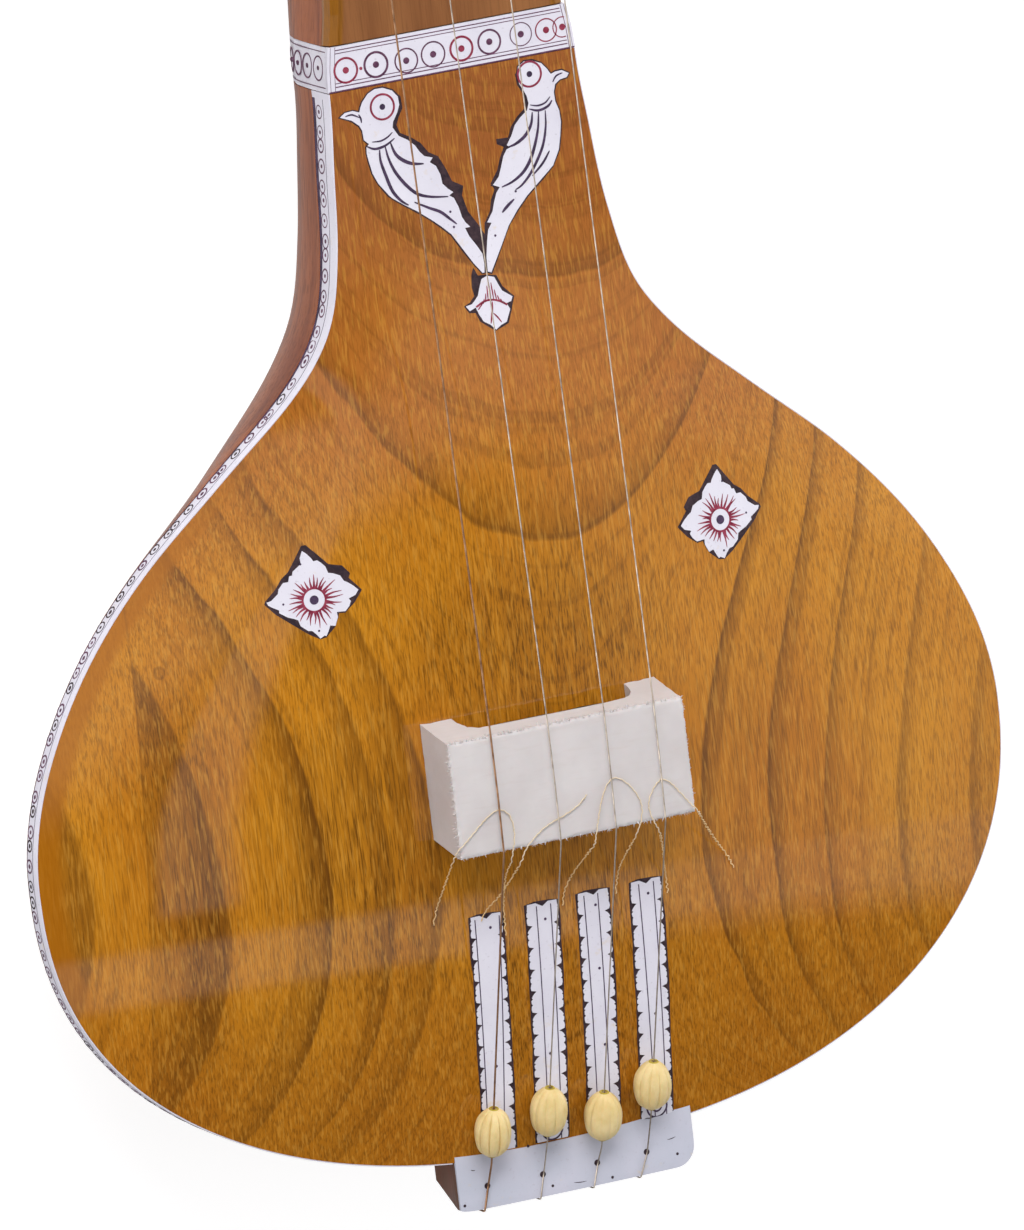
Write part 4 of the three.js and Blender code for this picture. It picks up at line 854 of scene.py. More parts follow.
def peg_look():
    shade = Shade("peg_look", coat=(0.6, 0.15))
    grain = shade.noise(shade.scaled((1.0, 1.0, 0.12)), 420.0, 4.0, 0.6)
    shade.colour(shade.mottle(grain, 0.35, 0.68, srgb(58, 30, 20), srgb(96, 54, 34)))
    shade.rough(shade.span(grain, 0.3, 0.7, 0.42, 0.3))
    shade.bump(grain, 0.1, 0.0002)
    return shade.material


FACE = soundboard_look()
NECK = neck_face_look()
BOWL = bowl_wood()
WEDGE = bowl_wood("tail_wood_look", srgb(84, 46, 24), srgb(112, 66, 38))
BARE = bare_wood()
WHITE = white_sheet("white_sheet_look")
PLATE = white_sheet("plate_sheet_look", 0.2, srgb(186, 188, 202))
# Also the colour of the painted shadow sheets beside the inlays
BLACK = mastic("mastic_and_shadow_look", srgb(38, 24, 34), srgb(62, 44, 50))
RED = mastic("crimson_look", srgb(122, 30, 56), srgb(150, 58, 80))
PURPLE = mastic("purple_look", srgb(52, 38, 62), srgb(78, 58, 88))
MAROON = mastic("maroon_look", srgb(78, 42, 68), srgb(108, 68, 94))
BONE = bone_look()
BEAD = bead_look()
BORE = mastic("bore_look", srgb(172, 148, 44), srgb(194, 172, 66))
BRONZE = wire("bronze_wire_look", srgb(176, 136, 104), srgb(122, 88, 64), 0.38)
STEEL = wire("steel_wire_look", srgb(206, 192, 176), srgb(150, 138, 128), 0.35)
PIN = wire("pin_look", srgb(120, 112, 104), srgb(70, 62, 58), 0.4)
COTTON = cotton_look()
PEG = peg_look()

BEVEL_ANGLE = 30


def keep(name, material, bevel=0.0):
    """A CAD node that stays, with its own material and softened edges."""
    obj = nodes[name]
    obj.data.materials.clear()
    obj.data.materials.append(material)
    if bevel:
        cut = obj.modifiers.new("edges", "BEVEL")
        cut.width = bevel * MM
        cut.segments = 2
        cut.limit_method = "ANGLE"
        cut.angle_limit = math.radians(BEVEL_ANGLE)
    weighted = obj.modifiers.new("normals", "WEIGHTED_NORMAL")
    weighted.keep_sharp = True


# Cotton threads on the bridge: the same routes as the part's own
THREAD_ROUTES = [
    [
        (-45.2, -31.6, 7.3), (-44, -26.5, 8.4), (-43.8, -19, 15.5), (-44.6, -11, 25),
        (-43.6, -4.4, 30.4), (-40, -1.6, 30.5), (-36.2, 1.6, 30.5), (-31.3, 5.3, 30.5),
        (-27.2, 6.8, 30.5), (-24.2, 4.9, 30.5), (-22.9, 1.2, 30.5), (-23, -3.6, 30.5),
        (-24, -7.6, 30.35), (-24.3, -11.4, 28.6), (-23.8, -16, 22.5), (-22.4, -21.6, 16),
        (-21, -27.5, 10.4), (-20.4, -33.7, 8), (-20.4, -39.8, 7.4),
    ],
    [
        (-28.6, -33.4, 7.7), (-26.5, -29.6, 9), (-24.4, -25.7, 13.7), (-22.6, -19.1, 21.4),
        (-21.2, -12.2, 29), (-19.6, -8.2, 30.35), (-16.4, -5, 30.5), (-12.4, -2.2, 30.5),
        (-8.6, -0.6, 30.5), (-5.4, 0.4, 30.5), (-2.2, 1.6, 30.5), (1.2, 3.4, 30.5), (4, 5.8, 30.5),
    ],
    [
        (0.4, -33.7, 8.2), (1.6, -28.6, 8.9), (2.8, -22.1, 15), (4.6, -15, 24), (5.4, -11.2, 29),
        (5.8, -7.8, 30.35), (7, -3.4, 30.5), (8.6, 1.8, 30.5), (10.8, 6.6, 30.5), (13.7, 9.4, 30.5),
        (17.2, 8.2, 30.5), (20.6, 4.4, 30.5), (22.8, -0.6, 30.5), (22.3, -5.6, 30.5),
        (21, -8.6, 30.3), (20.2, -12.4, 27.6), (19.8, -18, 20.6), (19.9, -23.6, 13.6),
        (20.4, -28.6, 8.9), (19.6, -33.6, 8.2),
    ],
    [
        (38.4, -37, 7.2), (38, -31, 8.2), (35.6, -25, 13.6), (32.6, -18.4, 20.8), (29, -11.9, 28.4),
        (27, -8.3, 30.3), (25.6, -4.6, 30.5), (25.5, -0.8, 30.5), (27.6, 3.2, 30.5),
        (30.8, 5.8, 30.5), (34, 4, 30.5), (37, 0.2, 30.5), (39.6, -3.4, 30.5), (42.2, -6.6, 30.4),
        (45, -10, 26.6), (49, -14.8, 20.8), (53.4, -19.8, 14.8), (57.8, -24.6, 9.4),
        (61.4, -29.2, 6.5), (63.3, -33.6, 5.8),
    ],
]
STRAND_RADIUS, STRAND_SIDES = 0.13, 6
STRAND_TWIST, STRAND_PITCH = 0.1, 1.1
THREAD_STEP = 0.2
CRINKLE, CRINKLE_LENGTH = 0.3, 2.3
CRINKLE_FLAT = 0.12
BRIDGE_REST = 30.0


def path_length(points):
    return sum((Vector(a) - Vector(b)).length for a, b in zip(points, points[1:]))


def even_path(points, step):
    """The same line with points at even distances."""
    pts = [Vector(p) for p in points]
    total = path_length(pts)
    count = max(2, round(total / step))
    out, at, i = [pts[0]], 0.0, 0
    for k in range(1, count):
        want = total * k / count
        while at + (pts[i + 1] - pts[i]).length < want:
            at += (pts[i + 1] - pts[i]).length
            i += 1
        u = (want - at) / (pts[i + 1] - pts[i]).length
        out.append(pts[i].lerp(pts[i + 1], u))
    return out + [pts[-1]]


def crinkled(line, number):
    """The line with the small waves of wound cotton, calmer where it lies on the bridge."""
    out = []
    for i, p in enumerate(line):
        along = (line[min(i + 1, len(line) - 1)] - line[max(i - 1, 0)]).normalized()
        height = CRINKLE_FLAT if p.z > BRIDGE_REST else CRINKLE
        side = along.cross(Vector((0, 0, 1))).normalized()
        way = i * THREAD_STEP / CRINKLE_LENGTH * 2 * math.pi
        uneven = 0.75 + 0.9 * noise.noise(Vector((i * THREAD_STEP / 5.0, number * 3.1, 0.0)))
        wave = math.sin(way + 1.3 * math.sin(way * 0.31 + number))
        out.append(p + side * height * uneven * wave)
    return out


def make_thread(number, route):
    centre = crinkled(even_path(spline(route, 8), THREAD_STEP), number)
    gather = Gather()
    for strand in (0, math.pi):
        path = []
        for i, (p, u, v) in enumerate(frames_along(centre)):
            turn = strand + i * THREAD_STEP / STRAND_PITCH * 2 * math.pi
            path.append(p + (u * math.cos(turn) + v * math.sin(turn)) * STRAND_TWIST)
        gather.rows([ring_points(*f, STRAND_RADIUS, STRAND_SIDES) for f in frames_along(path)])
    stands_for = (f"jawari_thread_{number}",)
    obj = gather.piece(f"thread_{number}", COTTON, "cotton", stands_for=stands_for, angle=60)
    path = [place(p) for p in centre]


for number, route in enumerate(THREAD_ROUTES, 1):
    make_thread(number, route)

# Bowl, throat and neck
SECTION_STEPS = 26
BAND_GAP = 0.15
THROAT_UNDER_BAND = (0.0, 2.5, 5.0, 7.35)
NECK_UNDER_BAND = (7.65, 11.0, 14.92)
NECK_STEP = 2.0


def hollow_curve(rim, spine, bend, bottom, lowest, powers, steps=SECTION_STEPS):
    """Curve of a section from its lowest point, on the spine, up to the bend below the rim."""
    points = []
    for i in range(steps, -1, -1):
        angle = i / steps * math.pi / 2
        out = 0.0 if i == steps else math.cos(angle) ** (2 / powers[0])
        down = math.sin(angle) ** (2 / powers[1])
        points.append((rim[0] * out, mix(spine, rim[1], out), max(mix(bend, bottom, down), lowest)))
    return points


def shell_half(spine, outer, rebated, inner, outer_top, inner_top, bend, recess=0.0):
    depth = body_depth(spine)
    powers = section_powers(spine)
    inside = hollow_curve(inner, spine, bend, SHELL_FLOOR - depth, SHELL_FLOOR - BOWL_DEPTH, powers)
    outside = hollow_curve(outer, spine, bend, recess - depth, -BOWL_DEPTH, powers)
    return [*outside, (*rebated, bend), (*rebated, outer_top), (*inner, inner_top), *inside[::-1]]


def station_shell(station):
    outer, rebated, inner = station.inset(0), station.inset(STRIP_DEPTH), station.inset(SHELL_WALL)
    return shell_half(
        station.spine, outer, rebated, inner, face_z(*rebated) - LEDGE, face_z(*inner) - LEDGE,
        face_z(*outer) - strip_height(outer[1]) - GAP,
    )


def neck_half(y, recess, top):
    outer = (half_width(y) - recess, y)
    inner = (half_width(y) - SHELL_WALL, y)
    return shell_half(y, outer, outer, inner, top, top, -strip_height(y) - GAP - recess, recess)


def mirrored(row):
    return [(-p[0], p[1], p[2]) for p in row]


def whole_loop(half):
    return [*half, *mirrored(half)[::-1][1:-1]]


bowl_rows = [station_shell(s) for s in upper_stations(0.0, JOINT_Y, 22)]
bowl_rows += [station_shell(Station(share=s)) for s in tail_shares(0.0, 1.0, 44)[1:]]
rows_piece("bowl", both_sides(bowl_rows), BOWL, "bowl_wood", looped=False, stands_for=("tumba",))

throat_stations = upper_stations(JOINT_Y + GAP, BOWL_TO_BAND - BAND_GAP, 34)[::-1]
throat_rows = [station_shell(s) for s in throat_stations]
throat_rows += [neck_half(BOWL_TO_BAND + d, BAND_RECESS, -BAND_RECESS) for d in THROAT_UNDER_BAND]
throat_rows = [whole_loop(row) for row in throat_rows]
rows_piece("throat", throat_rows, BOWL, "bowl_wood", stands_for=("gulu",))

neck_top = -FACEPLATE_THICKNESS - GAP
neck_rows = [neck_half(BOWL_TO_BAND + d, BAND_RECESS, -BAND_RECESS) for d in NECK_UNDER_BAND]
neck_places = [BAND_TOP + NECK_STEP * i for i in range(12)]
neck_places += [mix(BAND_TOP + 12 * NECK_STEP, HEAD_END, i / 24) for i in range(25)]
neck_rows += [neck_half(y, 0.0, neck_top) for y in neck_places]
neck_rows = [whole_loop(row) for row in neck_rows]
rows_piece("neck", neck_rows, BOWL, "bowl_wood", stands_for=("neck_channel",))


# Soundboard
BOARD_INSET = 0.45
SHEET_EDGE = 0.42
BOARD_COLUMNS = 44


def board_half(station):
    rim = station.inset(BOARD_INSET)
    top = []
    for i in range(BOARD_COLUMNS + 1):
        share = i / BOARD_COLUMNS
        x, y = rim[0] * share, mix(station.spine, rim[1], share)
        top.append((x, y, face_z(x, y)))
    return [*top, *[(x, y, z - TABLI_THICKNESS) for x, y, z in top[::-1]]]


board_rows = [board_half(s) for s in upper_stations(0.0, BOWL_TO_BAND - 0.1, 90)]
board_rows += [board_half(Station(share=s)) for s in tail_shares(0.0, 1.0, 60)[1:]]
rows_piece(
    "soundboard", both_sides(board_rows), FACE, "face_wood", looped=False, stands_for=("tabli",)
)

# White strip along the rim
RIM = upper_stations(0.0, BOWL_TO_BAND - BAND_GAP, 110) + [
    Station(share=s) for s in tail_shares(TAIL_CORNER_SHARE, 1.0, 90)[1:]
]


def strip_section(station):
    outer, inner = station.inset(0.0), station.inset(SHEET_EDGE)
    z, low = face_z(*outer), face_z(*outer) - strip_height(outer[1])
    soft = station.inset(0.1)
    return [(*inner, z - 0.02), (*soft, z - 0.04), (*outer, z - 0.2), (*outer, low), (*inner, low)]


SIDES = (("left", -1), ("right", 1))
for word, side in SIDES:
    rows = [strip_section(s) for s in RIM]
    if side < 0:
        rows = [mirrored(row) for row in rows]
    stands_for = (f"side_strip_{word}",)
    rows_piece(f"strip_{word}", rows, WHITE, "celluloid", stands_for=stands_for, angle=50)


def rim_stations(step):
    """Stations every so many millimetres along the right-hand rim."""
    out, run, last, due = [], 0.0, None, 0.0
    for s in RIM:
        p = Vector(s.inset(0.0))
        if last is not None:
            run += (p - last).length
        if run >= due:
            out.append(s)
            due += step
        last = p
    return out


def rim_point(station, down, side):
    x, y = station.inset(0.0)
    return Vector((side * x, y, face_z(x, y) - down))


def rim_normal(station, side):
    return Vector((side * station.nx, station.ny, 0.0))


RIM_CIRCLE_STEP = 5.9
RIM_LINE_DOWN = (3.3, 5.6)
RIM_CIRCLE_BELOW = (2.75, 3.8)
RIM_CIRCLE_GROWTH = 0.35
RIM_EDGE_WIDTH, RIM_EDGE_GAP = (0.25, 2.0), 0.08
HEAVY_SHARE = 0.3


def rim_shares(y):
    return smooth((y - STRIP_GROW_START) / STRIP_GROW_LENGTH)


def rim_line_down(y):
    return mix(*RIM_LINE_DOWN, rim_shares(y))


for word, side in SIDES:
    circles, heavy, lines = Gather(), Gather(), Gather()
    inner = RIM[1:-1]
    normals = [rim_normal(s, side) for s in inner]
    line = [rim_point(s, rim_line_down(s.y), side) for s in inner]
    lines.stroke(line, 0.3, normals, CUT_HEIGHT)
    widths = [mix(*RIM_EDGE_WIDTH, rim_shares(s.y)) for s in inner]
    downs = [strip_height(s.y) - RIM_EDGE_GAP - w / 2 for s, w in zip(inner, widths)]
    edge = [rim_point(s, down, side) for s, down in zip(inner, downs)]
    lines.stroke(edge, widths, normals, CUT_HEIGHT)
    for s in rim_stations(RIM_CIRCLE_STEP)[1:-1]:
        grown_share = rim_shares(s.y)
        below = mix(*RIM_CIRCLE_BELOW, grown_share) + random.uniform(-0.2, 0.2)
        centre = rim_point(s, rim_line_down(s.y) + below, side)
        normal = rim_normal(s, side)
        size = random.uniform(1.75, 2.1) + RIM_CIRCLE_GROWTH * grown_share
        target = heavy if random.random() < HEAVY_SHARE else circles
        width = random.uniform(0.4, 0.62)
        target.circle(centre, size, width, normal, CIRCLE_HEIGHT, sides=22, axis=(0, 0, 1))
        target.disc(centre, random.uniform(0.55, 0.85), normal, CIRCLE_HEIGHT, sides=10)
    circles.piece(f"rim_circles_{word}", MAROON, "celluloid")
    heavy.piece(f"rim_heavy_circles_{word}", BLACK, "celluloid")
    lines.piece(f"rim_lines_{word}", PURPLE, "celluloid")

# Band round the neck joint
for part in ("band_front", "band_left", "band_right"):
    keep(part, WHITE, bevel=0.12)
band_mid = BOWL_TO_BAND + BAND_LENGTH / 2
up = Vector((0, 0, 1))


def straight_up(p):
    return up


band_dark, band_red, band_lines = Gather(), Gather(), Gather()

# Circles on the band's front: (x, y past the bowl's end, radius, ring width, red or not)
BAND_CIRCLES = [
    (-37, 6.7, 4, 0.7, True), (-26.3, 6.7, 4.05, 0.75, False), (-15.6, 6.1, 3.95, 0.5, False),
    (-6, 6.5, 4.1, 0.5, False), (4.1, 6.6, 3.9, 0.75, True), (14.1, 7.1, 3.9, 0.65, False),
    (25.4, 7.6, 3.8, 0.34, False), (34.4, 7.4, 3.7, 0.42, True), (40.2, 7.4, 3.3, 0.36, True),
]
CUT_OFF_X = 40
for x, along, radius, width, red in BAND_CIRCLES:
    centre = (x, BOWL_TO_BAND + along, 0)
    target = band_red if red else band_dark
    if x > CUT_OFF_X:
        arc = [Vector((math.cos(t), math.sin(t), 0)) * radius for t in np.linspace(1.25, 5.0, 24)]
        target.stroke([Vector(centre) + p for p in arc], width, straight_up, CIRCLE_HEIGHT)
    else:
        target.circle(centre, radius, width, up, CIRCLE_HEIGHT, sides=40)
    target.disc(centre, 1.1, up, CIRCLE_HEIGHT)
band_red.disc((-31.7, BOWL_TO_BAND + 6.4, 0), 0.55, up, CIRCLE_HEIGHT)

# Lines across the band's front: place along the band, inset from its sides, width
BAND_LINES = [
    (0.3, 0.3, 0.45), (1.75, 2.6, 0.36), (2.9, 2.6, 0.26), (13.65, 2.6, 0.34), (12.6, 2.6, 0.26),
]
for along, inset, width in BAND_LINES:
    y = BOWL_TO_BAND + along
    x = half_width(y) - inset
    path = [(mix(-x, x, i / 20), y, 0) for i in range(21)]
    band_lines.stroke(path, width, straight_up, LINE_HEIGHT)
# Lines beside the band's corners: inset from the side, width
CORNER_LINES = {-1: ((1.0, 0.14), (2.6, 0.16)), 1: ((0.9, 0.14), (2.1, 0.22))}
for side in (-1, 1):
    for inset, width in CORNER_LINES[side]:
        ends = (BOWL_TO_BAND + 0.3, band_mid, BAND_TOP - 0.3)
        path = [(side * (half_width(y) - inset), y, 0) for y in ends]
        band_lines.stroke(path, width, straight_up, LINE_HEIGHT)


def turned(p, side):
    return Vector((side * p.x, p.y, p.z))


def band_side(y, run):
    """Point and outward normal on the band's side, that far round the section from the face."""
    bend, bottom, powers = -strip_height(y) - GAP, -body_depth(y), section_powers(y)
    if run <= -bend:
        return Vector((half_width(y), y, -run)), Vector((1, 0, 0))
    curve = hollow_curve((half_width(y), y), y, bend, bottom, -BOWL_DEPTH, powers, 60)
    curve = [Vector(p) for p in curve[::-1]]
    left = run + bend
    for a, b in zip(curve, curve[1:]):
        if left <= (b - a).length or b is curve[-1]:
            spot = a.lerp(b, min(left / (b - a).length, 1.0))
            return spot, Vector(((a - b).z * -1, 0, (b - a).x)).normalized() * -1
        left -= (b - a).length


SIDE_SINK = 0.12
SIDE_CIRCLES = [7.4, 16.4, 25.0, 34.0, 42.5, 51.0, 59.5, 68.0, 76.5]
for side in (-1, 1):
    for run in SIDE_CIRCLES:
        centre_y = band_mid + random.uniform(-0.3, 0.3)
        rim, normals = [], []
        for t in turns(34):
            spot, normal = band_side(centre_y + 3.9 * math.sin(t), run + 3.7 * math.cos(t))
            rim.append(turned(spot, side))
            normals.append(turned(normal, side))
        band_dark.stroke(rim, 0.5, normals, CIRCLE_HEIGHT, closed=True, sink=SIDE_SINK)
        spot, normal = band_side(centre_y, run)
        spot, normal = turned(spot, side), turned(normal, side)
        band_dark.disc(spot, 0.85, normal, CIRCLE_HEIGHT, sink=SIDE_SINK)
    for y in (BOWL_TO_BAND + 1.7, BAND_TOP - 1.7):
        marks = [band_side(y, run) for run in np.linspace(2.0, 80.0, 60)]
        path = [turned(spot, side) for spot, _ in marks]
        normals = [turned(normal, side) for _, normal in marks]
        band_lines.stroke(path, 0.3, normals, LINE_HEIGHT, sink=SIDE_SINK)
band_dark.piece("band_circles", MAROON, "celluloid")
band_red.piece("band_red_circles", RED, "celluloid")
band_lines.piece("band_lines", MAROON, "celluloid")

# Inlays: heights are against the face of the soundboard
PLATE_TOP, PLATE_BOTTOM = 0.16, -0.9
MASTIC_TOP, MASTIC_BOTTOM = 0.07, -0.6
# How far the painted shadow sheets lie below the mastic
SHADOW_SHEET_DROP = 0.01
MASTIC_WIDTH, MASTIC_WOBBLE = 0.45, 0.12
CUT_LIFT, ENGRAVING_LIFT, RING_LIFT = 0.18, 0.2, 0.17
PLATE_CELL = 2.0

# Birds: outline, painted shadow beside it (a dark sheet in the mastic's colour), eye, cuts with
# their widths, and dots
BIRDS = {
    "left": {
        "outline": [
            (-41.1, 234.8), (-39.2, 236), (-36.4, 236.2), (-34.1, 235.3), (-33.6, 236.7),
            (-32.7, 238.4), (-30.4, 240.8), (-27.8, 241.9), (-25, 241.8), (-21.9, 240.4),
            (-20.1, 238.1), (-19.9, 235.4), (-21, 232.9), (-22.8, 230.2), (-23.2, 228.4),
            (-22.2, 226.7), (-21.4, 225.3), (-18.5, 223.5), (-16.2, 221.3), (-14.8, 218.9),
            (-13.3, 217.2), (-10.5, 216.2), (-11.7, 214.9), (-9.7, 213.3), (-8.5, 210.2),
            (-8.2, 207.2), (-6.5, 205.2), (-4.8, 203.8), (-6.4, 203), (-4.9, 201.9), (-3.7, 198.8),
            (-3, 195.3), (-2.1, 193.4), (-0.6, 191.6), (-2.5, 191.6), (-1.4, 188.6), (0.7, 185.2),
            (2.2, 182.3), (2.3, 178.9), (1.9, 176.2), (1.2, 176.2), (-1.4, 179.9), (-4.3, 184.9),
            (-7.5, 190.4), (-10.7, 193.6), (-13.9, 196.4), (-18.3, 199.9), (-22.7, 202.9),
            (-26.4, 205.7), (-27.4, 206.8), (-28.1, 207.8), (-30.5, 211.1), (-32.1, 214.8),
            (-32.8, 218.4), (-33.3, 221.5), (-33.1, 223.7), (-32.1, 224.5), (-33.7, 226.1),
            (-33.9, 229.2), (-34.7, 231), (-37.1, 233.1), (-39, 233.9),
        ],
        # Painted shadow beside the bird: a dark sheet in the mastic's colour
        "painted_shadow": [
            (-21.1, 240.2), (-19.1, 237.9), (-18.9, 234.1), (-20.6, 231.4), (-21.7, 228.9),
            (-20.8, 226.2), (-17.3, 224.2), (-14.1, 221.7), (-11.7, 218.2), (-8.5, 216.3),
            (-6.2, 211.5), (-4.7, 207.4), (-1, 205.2), (-1.9, 202.2), (-0.6, 196.7), (2.2, 192.1),
            (4.1, 188.3), (3.2, 181), (2.4, 175.8), (1.3, 176.8), (1.5, 182.8), (-1.4, 187.4),
            (-3.6, 192), (-5.3, 199.1), (-9, 207.3), (-12.2, 213.9), (-15.8, 217.6), (-21.6, 223.2),
            (-24.3, 228.2), (-21.9, 233.9),
        ],
        "eye": (-25.9, 235.7),
        "cuts": [
            (0.55, [(-39.2, 234.8), (-36.8, 235), (-34.3, 233.6)]),
            (0.85, [(-33, 223.9), (-30.3, 222.6), (-26.6, 223), (-23, 224.8)]),
            (0.6, [(-31, 225), (-28, 224.8), (-25.4, 225.6), (-23.5, 226.9)]),
            (1.1, [
                (-28.7, 222), (-28.8, 218.4), (-27.7, 213.7), (-26, 208.1), (-23.5, 204.4),
                (-21, 202.4),
            ]),
            (1.1, [
                (-26.6, 222.8), (-25.9, 218.6), (-24.1, 213.8), (-21, 209.1), (-17.4, 205.5),
                (-12.8, 203.7), (-6.8, 202.7),
            ]),
            (1, [(-18.8, 203), (-14.1, 200.3), (-10.3, 198.3), (-7.5, 195.7), (-5.2, 193.4)]),
            (0.6, [(-34.5, 234.7), (-33.9, 233.3), (-33.8, 231.8)]),
            (1.2, [(-24.6, 223.6), (-23.3, 219.7), (-20.8, 217.1), (-17.7, 215.5), (-13.9, 214.8)]),
        ],
        "dots": [(-6.8, 197.7), (-6.3, 192.6)],
    },
    "right": {
        "outline": [
            (40.5, 235.1), (38.2, 236.5), (35.8, 236.4), (34.2, 235.9), (33.1, 237.8), (31.3, 240),
            (28.2, 241.4), (25.3, 241.6), (23.1, 240.3), (22.4, 237.8), (22.8, 234.6),
            (24.1, 232.1), (24.9, 230.1), (25.2, 227.8), (24.4, 225.6), (21.8, 223.8),
            (19.5, 221.6), (17.9, 218.4), (15.9, 215.6), (17, 214.6), (15.7, 214.3), (14.2, 212.2),
            (12.9, 208.7), (11.7, 205.9), (9.3, 203.6), (11.6, 202.5), (10.1, 200.8), (8.9, 198),
            (7.9, 195.2), (5.5, 192), (7, 191.6), (5.5, 189.6), (4.5, 186), (3.4, 180.9),
            (3.1, 176.3), (4.3, 175.8), (6.7, 179.6), (9.6, 184.3), (12.9, 189.8), (16.5, 194),
            (20.8, 198.2), (26.4, 202.5), (31.1, 206.2), (33.8, 211), (34.9, 215.4), (35.7, 219.8),
            (35.6, 223.6), (34.6, 226.9), (34.5, 229.9), (35.3, 232.4), (37.2, 233.6),
            (39.6, 233.9),
        ],
        # Painted shadow beside the bird: a dark sheet in the mastic's colour
        "painted_shadow": [
            (23.6, 240.6), (21.7, 237.9), (22, 234.4), (23.6, 231.5), (23.9, 228.7), (23.6, 226.4),
            (20.7, 224.2), (18.2, 221.4), (16.7, 218), (12.5, 218.2), (12.5, 216.5), (14.8, 215.2),
            (12.9, 211.7), (11.6, 208.2), (8.6, 204.2), (9.7, 202.1), (8, 199), (7.1, 195.5),
            (4.6, 191.9), (4.1, 188.3), (3.2, 182.5), (2.6, 176), (4.1, 176.3), (6.3, 181.9),
            (7.9, 189.2), (10.7, 196.2), (14.4, 204.6), (18, 213.1), (22.2, 219.9), (26.9, 225.2),
            (26.1, 231.4), (24.3, 237),
        ],
        "eye": (26.7, 237.2),
        "cuts": [
            (0.55, [(34.5, 233.2), (36, 235), (38.3, 235.6)]),
            (0.85, [(25.2, 225.9), (28.4, 224.9), (31.8, 225.7), (33.5, 227.4)]),
            (0.6, [(25.6, 227.2), (28.3, 226.5), (31, 227), (33, 228.7)]),
            (1.1, [(26.1, 224.7), (25.2, 220.9), (22.7, 217.6), (19.3, 215.6), (16.4, 214.9)]),
            (1.1, [
                (28.3, 224.5), (27.4, 219), (25.4, 213.3), (23.2, 209.1), (20.3, 205.8),
                (16.3, 203.5), (12.3, 202.4),
            ]),
            (1, [(16, 197.8), (13.2, 195.9), (11.2, 194.2)]),
            (0.95, [
                (30.7, 224.5), (30.2, 219.3), (28.5, 213.5), (25.7, 208.7), (22.6, 204.7),
                (19.3, 201.8), (16.9, 200.7),
            ]),
            (0.8, [(30.5, 211.2), (27.6, 207.6), (23.4, 204.1)]),
        ],
        "dots": [(16.9, 200.2), (7.6, 187.3)],
    },
}
LOTUS = [
    (2.6, 175), (5, 174.2), (6.1, 171.4), (7, 169.4), (10.3, 166.9), (9.6, 165.5), (7.9, 165.1),
    (8.8, 163), (6.9, 159.2), (4.7, 158.5), (2.8, 157.3), (1.1, 159.2), (-1.1, 160.7),
    (-2.3, 163.2), (-3.1, 165.6), (-5.3, 164.8), (-6.4, 166.5), (-4.1, 166.9), (-1.7, 169.1),
    (-0.6, 171.9), (0.5, 174.3),
]
# Painted shadow round the lotus: a dark sheet in the mastic's colour
LOTUS_PAINTED_SHADOW = [
    (-1.7, 178.5), (-0.5, 175.6), (2.3, 175.5), (5.9, 174.6), (7.4, 170.8), (9, 169), (11, 166.9),
    (10.1, 164.8), (9.3, 162.6), (7.6, 158.7), (4.9, 157.7), (2.7, 157), (0.6, 158.5),
    (-2.3, 160.9), (-3.4, 163.9), (-5.6, 164.2), (-7, 166.6), (-4.8, 167.5), (-2.9, 169.3),
    (-3.3, 172.3), (-2.8, 176),
]
LOTUS_ARC = [(-2.9, 165.7), (0, 167), (2.9, 167.1), (5.6, 166.2), (8, 164.6)]
LOTUS_CUTS = [
    (0.65, [(3, 166.5), (2.3, 163.1), (1.3, 159.6)]),
    (0.5, [(2.7, 162.8), (3.9, 161.3), (5.1, 159.4)]),
]
ROSETTE = [
    (-87.3, 83), (-85.7, 83.3), (-83.2, 85.2), (-82.8, 86.6), (-81, 88.5), (-79.3, 88.5),
    (-78.7, 90.3), (-77.8, 90.4), (-77.4, 91.6), (-75.5, 92.9), (-74.4, 93.7), (-74.5, 95.5),
    (-73.4, 97.8), (-72, 96.5), (-70.7, 94.8), (-70.3, 93.9), (-69, 94), (-67.9, 93.1),
    (-66.6, 91.6), (-66, 89.4), (-64.4, 89), (-62.2, 87.9), (-61.2, 86), (-60, 85.3), (-58.2, 83.8),
    (-56.8, 82.3), (-58, 80.8), (-60.4, 80), (-59.8, 79.1), (-60.5, 77.6), (-62, 76.1),
    (-64.9, 76.3), (-64.8, 74.6), (-66, 71.9), (-67.7, 72.3), (-68.6, 70.4), (-69.4, 69.1),
    (-70, 69.4), (-71.5, 68.6), (-72.5, 70.1), (-73.6, 71.3), (-74.1, 71.6), (-75.1, 71.7),
    (-77.4, 73.7), (-77.9, 75.7), (-79, 76.3), (-81.2, 77.2), (-83.7, 79), (-83.6, 79.9),
    (-85.5, 81), (-86.8, 81.9),
]
# Painted shadow round the rosette: a dark sheet in the mastic's colour
ROSETTE_PAINTED_SHADOW = [
    (-88, 82.4), (-87.7, 83.3), (-83.7, 86.8), (-81.4, 89.8), (-78.9, 91.6), (-77.4, 93.7),
    (-73.4, 99.4), (-72, 99.5), (-69, 96.2), (-65.5, 92.2), (-61.1, 91), (-58.8, 88.1),
    (-59.5, 86.7), (-55.6, 82.1), (-58.6, 78.4), (-62.1, 75.6), (-64.2, 75.8), (-64.7, 74.4),
    (-66, 71.7), (-69.4, 68.7), (-71.5, 68.4), (-74.8, 70.4), (-78.9, 73.7), (-84.8, 78.6),
    (-87.6, 81.9),
]


def on_face(x, y, lift=0.0):
    return Vector((x, y, face_z(x, y) + lift))


def turning(outline):
    """Twice the enclosed area: positive where the outline runs anticlockwise."""
    return sum(a[0] * b[1] - b[0] * a[1] for a, b in zip(outline, outline[1:] + outline[:1]))


